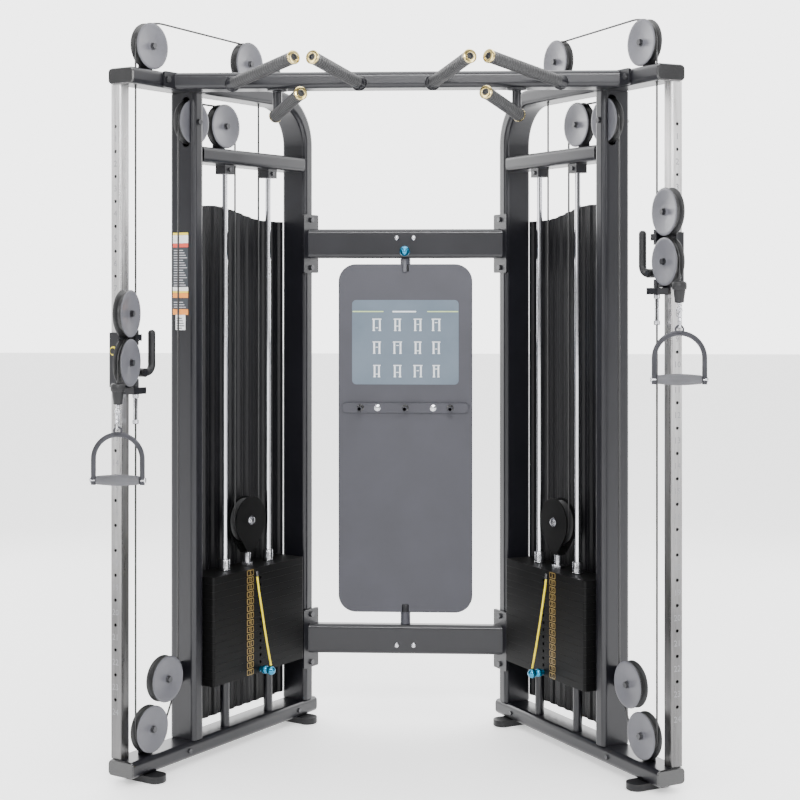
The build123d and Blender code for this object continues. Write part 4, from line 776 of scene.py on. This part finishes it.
HANDLE_BAND = 0.0148
HANDLE_THICK = 0.0088
ARCH_OUTER = 0.080
ARCH_HALF = ARCH_OUTER - 0.0075
EYE_OUTER = 0.014
EYE_MIDDLE = 0.0114
EYE_STEPS = 40
CROWN_DROP = 0.017
LIMB_STEPS = 9
ARCH_STEPS = 40
BOLT_OUT = 0.0795
HANDLE_BOLT = ((-0.012, 0.0049), (0, 0.0049), (0.0002, 0.0086), (0.0026, 0.0084),
               (0.0040, 0.0066))
BARREL = (                              # share of the half length, radius
    (-1.0, 0.0052), (-1.0, 0.0115), (-0.97, 0.0128), (-0.90, 0.0133), (-0.60, 0.0150),
    (-0.25, 0.0164), (0.0, 0.0168), (0.25, 0.0164), (0.60, 0.0150), (0.90, 0.0133),
    (0.97, 0.0128), (1.0, 0.0115), (1.0, 0.0052),
)
for name, side in SIDES.items():
    low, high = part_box(name + "_d_handle")
    grip_low, grip_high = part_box(name + "_d_grip")
    spot = (low + high) / 2
    bolt_up = (grip_low.z + grip_high.z) / 2
    eye_up = high.z - EYE_OUTER
    body = name + "_handle"
    spring_up = high.z - ARCH_OUTER - CROWN_DROP
    bottom = low.z + 0.0002
    heights = [bottom + (spring_up - bottom) * step / LIMB_STEPS for step in range(LIMB_STEPS)]
    bow = [Vector((spot.x + ARCH_HALF, spot.y, height)) for height in heights]
    for step in range(ARCH_STEPS + 1):
        angle = pi * step / ARCH_STEPS
        bow.append(Vector((spot.x + ARCH_HALF * cos(angle), spot.y,
                           spring_up + ARCH_HALF * sin(angle))))
    bow += [Vector((spot.x - ARCH_HALF, spot.y, height)) for height in reversed(heights)]
    arch = swept(name + "_handle_bow", bow, TO_REAR,
                 band_section(HANDLE_BAND, HANDLE_THICK, 0.0036), [CAST])
    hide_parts(name + "_d_handle")
    turns = [2 * pi * step / EYE_STEPS for step in range(EYE_STEPS)]
    ring = [Vector((spot.x + EYE_MIDDLE * cos(turn), spot.y, eye_up + EYE_MIDDLE * sin(turn)))
            for turn in turns]
    eye = swept(name + "_handle_eye", ring, TO_REAR, band_section(0.0050, HANDLE_THICK, 0.0018),
                [CAST], closed=True)
    pieces = [arch, eye]
    for way in (-1, 1):
        start = Vector((spot.x + way * BOLT_OUT, spot.y, bolt_up))
        pieces.append(turned(f"{name}_handle_bolt_{'outer' if way > 0 else 'inner'}", start,
                             ACROSS * way, HANDLE_BOLT, [STEEL], steps=32))
    for piece in pieces:
        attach(piece, body)
    half = (grip_high.x - grip_low.x) / 2
    grip = turned(name + "_barrel_grip", Vector((spot.x, spot.y, bolt_up)), ACROSS,
                  [(share * half, radius) for share, radius in BARREL], [GREY_GRIP], steps=56)
    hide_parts(name + "_d_grip")
    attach(grip, name + "_handle_grip")

# ---- pull-up handles ------------------------------------------------------------
BEAM_FRONT = 0.102
BEAM_MIDDLE = 2.126
BEAM_TOP = 2.151
FOOT_UP = BEAM_MIDDLE - 0.012
TIP_UP = BEAM_MIDDLE + 0.030
TIP_FRONT = -0.165
PULL_UPS = (                            # foot on the beam and tip of each grip
    ((0.502, BEAM_FRONT, FOOT_UP), (0.284, TIP_FRONT, TIP_UP)),
    ((0.112, BEAM_FRONT, FOOT_UP), (0.226, TIP_FRONT, TIP_UP)),
)
STRUT = (0.368, 0.140, 2.012)
LOW_TIP = (0.268, -0.070, 2.056)
SLEEVE_RADIUS = 0.0188
SLEEVE_LIP = 0.0196
PLUG_RADIUS = 0.0203
PLUG_ZONES = [0, 0, 0, 0, 0, 0, 1, 1, 1]        # the plug's bright ring, and its socket's well darkened as painted shade
SLEEVE_FROM = 0.020
LOW_START = 0.016                       # the lower grip's tail behind its strut
LOW_RISE = 0.012
STUB = ((-0.008, 0.0188), (0.004, 0.0188), (0.018, 0.0180), (0.030, 0.0172))
WELD = ((-0.001, 0.0240), (0.001, 0.0236), (0.004, 0.0205), (0.007, 0.0190))
LOWER_STRUT = ((0, 0.0110), (0.001, 0.0132), (0.003, 0.0140), (0.080, 0.0140),
               (0.083, 0.0165), (0.084, 0.0310), (0.0855, 0.0320), (0.0888, 0.0320))
BEAM_PLUG = ((0, 0.0120), (0.003, 0.0120), (0.004, 0.0095), (0.0085, 0.0092),
             (0.0098, 0.0078))


def ribbed(long, radius, lip):
    """Rubber sleeve's profile: shallow rings between two lips."""
    shape = [(0, radius * 0.75), (0, lip), (0.006, lip), (0.0075, radius)]
    count = int((long - 0.02) / 0.012)
    for ring in range(count):
        start = 0.0095 + ring * (long - 0.019) / count
        shape += [(start, radius), (start + 0.0008, radius - 0.0006),
                  (start + 0.0016, radius - 0.0006), (start + 0.0024, radius)]
    return shape + [(long - 0.0075, radius), (long - 0.006, lip), (long, lip),
                    (long, radius * 0.75)]


def end_plug(radius):
    """Bright end ring with a hexagon socket's well, darkened as painted shade."""
    return ((0, radius - 0.003), (0, radius), (0.004, radius + 0.0006),
            (0.0068, radius - 0.001), (0.0080, radius - 0.004), (0.0080, radius * 0.55),
            (0.0068, radius * 0.50), (0.0066, radius * 0.34), (0.0030, radius * 0.30),
            (0.0028, 0.001))


def grip_set(label, foot, tip, replaced):
    """Ribbed sleeve with its two ends and a bright plug at the tip."""
    reach = (tip - foot).normalized()
    long = (tip - foot).length
    sleeve = turned(label + "_sleeve", foot, reach, ribbed(long, SLEEVE_RADIUS, SLEEVE_LIP),
                    [GRIP])
    plug = turned(label + "_plug", tip, reach, end_plug(PLUG_RADIUS), [GOLD, GROOVE_AND_SOCKET_SHADE],
                  PLUG_ZONES)
    for piece, used in ((sleeve, "rubber"), (plug, "chrome")):
        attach(piece, "frame")
    if replaced:
        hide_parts("pullup_handles")


for name, side in SIDES.items():
    for index, (foot, tip) in enumerate(PULL_UPS):
        label = f"{name}_pullup_{index}"
        foot = centre(side * foot[0], foot[1], foot[2])
        tip = centre(side * tip[0], tip[1], tip[2])
        reach = (tip - foot).normalized()
        stub = turned(label + "_stub", foot, reach, STUB, [PAINT])
        weld = turned(label + "_weld", foot + reach * 0.002, TO_REAR * -1, WELD, [PAINT])
        for piece in (stub, weld):
            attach(piece, "frame")
        grip_set(label, foot + reach * SLEEVE_FROM, tip, index == 0 and side < 0)
    strut = centre(side * STRUT[0], STRUT[1], STRUT[2])
    tip = centre(side * LOW_TIP[0], LOW_TIP[1], LOW_TIP[2])
    reach = (tip - strut).normalized()
    start = strut + UP * LOW_RISE - reach * LOW_START
    long = (tip - strut).length
    grip_set(name + "_lower_pullup", start, start + reach * long, False)
    tail = turned(name + "_lower_tail", start, reach * -1, end_plug(PLUG_RADIUS),
                  [GOLD, GROOVE_AND_SOCKET_SHADE], PLUG_ZONES)
    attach(tail, "frame")
    post = turned(name + "_lower_strut", strut, UP, LOWER_STRUT, [PAINT])
    nut = turned(name + "_beam_plug", centre(side * STRUT[0], STRUT[1], BEAM_TOP), UP,
                 BEAM_PLUG, [PLASTIC], steps=6)
    for piece, used in ((post, "frame_paint"), (nut, "plastic")):
        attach(piece, "frame")

# ---- board ----------------------------------------------------------------------
BOARD_FRONT = 0.717
PLACARD_LOW = (-0.183, 1.157)
PLACARD_WIDE = 0.366
PLACARD_TALL = 0.290
PICTURE_COLUMNS = (-0.098, -0.027, 0.043, 0.106)
PICTURE_ROWS = (1.203, 1.2835, 1.362)


def printed(name, x, z, wide, tall, made, lift=0.0006, corner=0.001):
    """Flat printed shape on the front of the board; x and z are its lower left."""
    shape = slab(name, centre(x, BOARD_FRONT - lift, z), ACROSS, UP, wide, tall,
                 min(corner, wide * 0.4, tall * 0.4), 0.0002, [made])
    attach(shape, "board")


RAIL_UP = 1.077
RAIL_FRONT = BOARD_FRONT - 0.008
PEG_SPACING = 0.154
RAIL_SCREW_SHARE = 0.62                 # of the way from the middle peg to an outer one
PEG_COVER = ((0.0002, 0.0120), (0.0016, 0.0120), (0.0030, 0.0084), (0.0540, 0.0084),
             (0.0556, 0.0078), (0.0560, 0.0060))
RAIL_SCREW = ((0.0002, 0.0110), (0.0012, 0.0110), (0.0020, 0.0080), (0.0055, 0.0072),
              (0.0066, 0.0040))
for step, end in ((-1, "left"), (0, "middle"), (1, "right")):
    seat = centre(step * PEG_SPACING, RAIL_FRONT, RAIL_UP)
    peg = turned(end + "_peg_cover", seat, TO_REAR * -1, PEG_COVER, [PLASTIC], steps=36)
    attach(peg, "board")
for step, end in ((-1, "left"), (1, "right")):
    seat = centre(step * PEG_SPACING * RAIL_SCREW_SHARE, RAIL_FRONT, RAIL_UP)
    screw = turned(end + "_rail_screw", seat, TO_REAR * -1, RAIL_SCREW, [STEEL], steps=32)
    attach(screw, "board")
# pivot sleeves that overlap the board's edges, and the bar in front of the upper one
BEAM_AXIS = 0.727
BEAM_FACE = 0.702
BOARD_TOP = 1.570
BOARD_BOTTOM = 0.375
SLEEVE_OVER = 0.028
SLEEVE_END = ((0, 0.0110), (0.0010, 0.0148), (0.0022, 0.0156))
UPPER_SLEEVE = SLEEVE_END + ((0.0430, 0.0156), (0.0440, 0.0150))
LOWER_SLEEVE = SLEEVE_END + ((0.0640, 0.0156), (0.0650, 0.0150))
PIVOT_BAR = ((0, 0.0060), (0.0014, 0.0082), (0.0030, 0.0086), (0.0446, 0.0086),
             (0.0460, 0.0074))
upper = turned("upper_pivot_sleeve", centre(0, BEAM_AXIS, BOARD_TOP - SLEEVE_OVER + 0.002), UP,
               UPPER_SLEEVE, [PLASTIC], steps=40)
bar = turned("upper_pivot_bar", centre(-0.002, BEAM_AXIS - 0.0105, BOARD_TOP - SLEEVE_OVER), UP,
             PIVOT_BAR, [PULLEY], steps=32)
lower = turned("lower_pivot_sleeve", centre(0, BEAM_AXIS, BOARD_BOTTOM + SLEEVE_OVER), UP * -1,
               LOWER_SLEEVE, [PAINT], steps=40)
for piece, used in ((upper, "plastic"), (bar, "steel"), (lower, "frame_paint")):
    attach(piece, "board")
REAR_BEAMS = (("upper", 1.659), ("lower", 0.266))
BEAM_SCREW_OUT = 0.029
BEAM_SCREW = ((-0.0004, 0.0094), (0.0010, 0.0094), (0.0034, 0.0082), (0.0056, 0.0056),
              (0.0062, 0.0030))
for beam, height in REAR_BEAMS:
    for step, end in ((-1, "left"), (1, "right")):
        seat = centre(step * BEAM_SCREW_OUT, BEAM_FACE, height)
        head = turned(f"{beam}_beam_{end}_screw", seat, TO_REAR * -1, BEAM_SCREW, [STEEL],
                      steps=32)
        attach(head, "frame")
sheet = slab("placard", centre(PLACARD_LOW[0], BOARD_FRONT, PLACARD_LOW[1]), ACROSS, UP,
             PLACARD_WIDE, PLACARD_TALL, 0.014, 0.0006, [PLACARD])
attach(sheet, "board")
RULE_STARTS = (-0.181, 0.075)
for index, x in enumerate(RULE_STARTS):
    printed(f"placard_rule_{index}", x, 1.4055, 0.106, 0.0035, PRINT_GREEN)
printed("placard_heading", -0.044, 1.4045, 0.081, 0.0050, PRINT_WHITE)
# each picture is a plain frame on two feet, with a bar at its own height
for row, z in enumerate(PICTURE_ROWS):
    for column, x in enumerate(PICTURE_COLUMNS):
        label = f"picture_{row}_{column}"
        wide = 0.026 + 0.003 * ((row + column) % 3)
        printed(label + "_head", x - wide / 2, z + 0.0175, wide, 0.0035, PRINT_WHITE)
        for way in (-1, 1):
            limb = x + way * (wide / 2 - 0.0055) - 0.003
            suffix = "a" if way < 0 else "b"
            printed(f"{label}_post_{suffix}", limb, z - 0.019, 0.006, 0.036, PRINT_WHITE)
            printed(f"{label}_foot_{suffix}", limb - 0.0015, z - 0.0215, 0.009, 0.003,
                    PRINT_WHITE)
        stage = z - 0.012 + 0.006 * ((2 * row + column) % 4)
        printed(label + "_bar", x - 0.0045, stage, 0.009, 0.0028, PRINT_WHITE)

# ---- label on the left front post -----------------------------------------------
BANDS = (                               # colour, height and width, from the bottom up
    ("white", 0.0480, 0.040),
    ("orange", 0.0180, 0.062),
    ("dark", 0.0350, 0.062),
    ("orange", 0.0155, 0.062),
    ("yellow", 0.0060, 0.062),
    ("white", 0.0130, 0.062),
    ("dark", 0.1240, 0.062),
    ("red", 0.0130, 0.062),
    ("white", 0.0260, 0.062),
    ("yellow", 0.0080, 0.062),
)
LABEL_WIDE = 0.062
LABEL_START = -0.036
BAND_U = 0.2505
BAND_LOW = 1.357
RULE_PITCH = 0.0078
RULE_TALL = 0.0028
RULE_MARGIN = 0.004
BAND_GAP = 0.0005
band_up = BAND_LOW
for index, (shade, tall, wide) in enumerate(BANDS):
    start = LABEL_START + (LABEL_WIDE - wide) / 2
    strips = [slab(f"post_label_{index}", place(-1, BAND_U, start, band_up), inward(-1), UP,
                   wide, tall - BAND_GAP, 0.0008, 0.0003, [LABELS[shade]])]
    lines = int((tall - RULE_MARGIN) / RULE_PITCH) if tall > 4 * RULE_PITCH else 0
    for line in range(lines):
        spot = place(-1, BAND_U - 0.0004, start + RULE_MARGIN, band_up + RULE_MARGIN +
                     line * RULE_PITCH)
        long = (wide - 2 * RULE_MARGIN) * (0.70 + 0.10 * ((3 * line + index) % 4))
        ink = LABELS["grey"] if shade == "dark" else LABELS["dark"]
        strips.append(slab(f"post_label_rule_{index}_{line}", spot, inward(-1), UP, long,
                           RULE_TALL, 0.0006, 0.0002, [ink]))
    for strip in strips:
        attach(strip, "frame")
    band_up += tall

# ---- floor and backdrop ---------------------------------------------------------
floor_mesh = bpy.data.meshes.new("floor")
REACH = 30                              # from the middle to each edge of the floor
corners = [(-REACH, -REACH, 0), (REACH, -REACH, 0), (REACH, REACH, 0), (-REACH, REACH, 0)]
floor_mesh.from_pydata(corners, [], [(0, 1, 2, 3)])
floor = bpy.data.objects.new("floor", floor_mesh)
bpy.context.scene.collection.objects.link(floor)
PALE = surface("studio_floor", (0.94, 0.94, 0.94), (0.96, 0.96, 0.96), (0.55, 0.65),
               patch=1.5, grain=60, depth=0.0001)
glow = PALE.node_tree.nodes["Principled BSDF"]
glow.inputs["Emission Color"].default_value = (1, 1, 1, 1)
glow.inputs["Emission Strength"].default_value = 0.6
floor_mesh.materials.append(PALE)

world = bpy.data.worlds.new("studio")
bpy.context.scene.world = world
world.use_nodes = True
sky = world.node_tree
sky_from = sky.nodes.new("ShaderNodeTexCoord")
split_axes = sky.nodes.new("ShaderNodeSeparateXYZ")
sky.links.new(sky_from.outputs["Generated"], split_axes.inputs["Vector"])
depth_way = sky.nodes.new("ShaderNodeMapRange")
depth_way.inputs["From Min"].default_value = -0.5
depth_way.inputs["From Max"].default_value = 0.85
depth_way.inputs["To Min"].default_value = 0.38
depth_way.inputs["To Max"].default_value = 4.2
sky.links.new(split_axes.outputs["Y"], depth_way.inputs["Value"])
background = sky.nodes["Background"]
background.inputs["Color"].default_value = (1, 1, 1, 1)
sky.links.new(depth_way.outputs["Result"], background.inputs["Strength"])
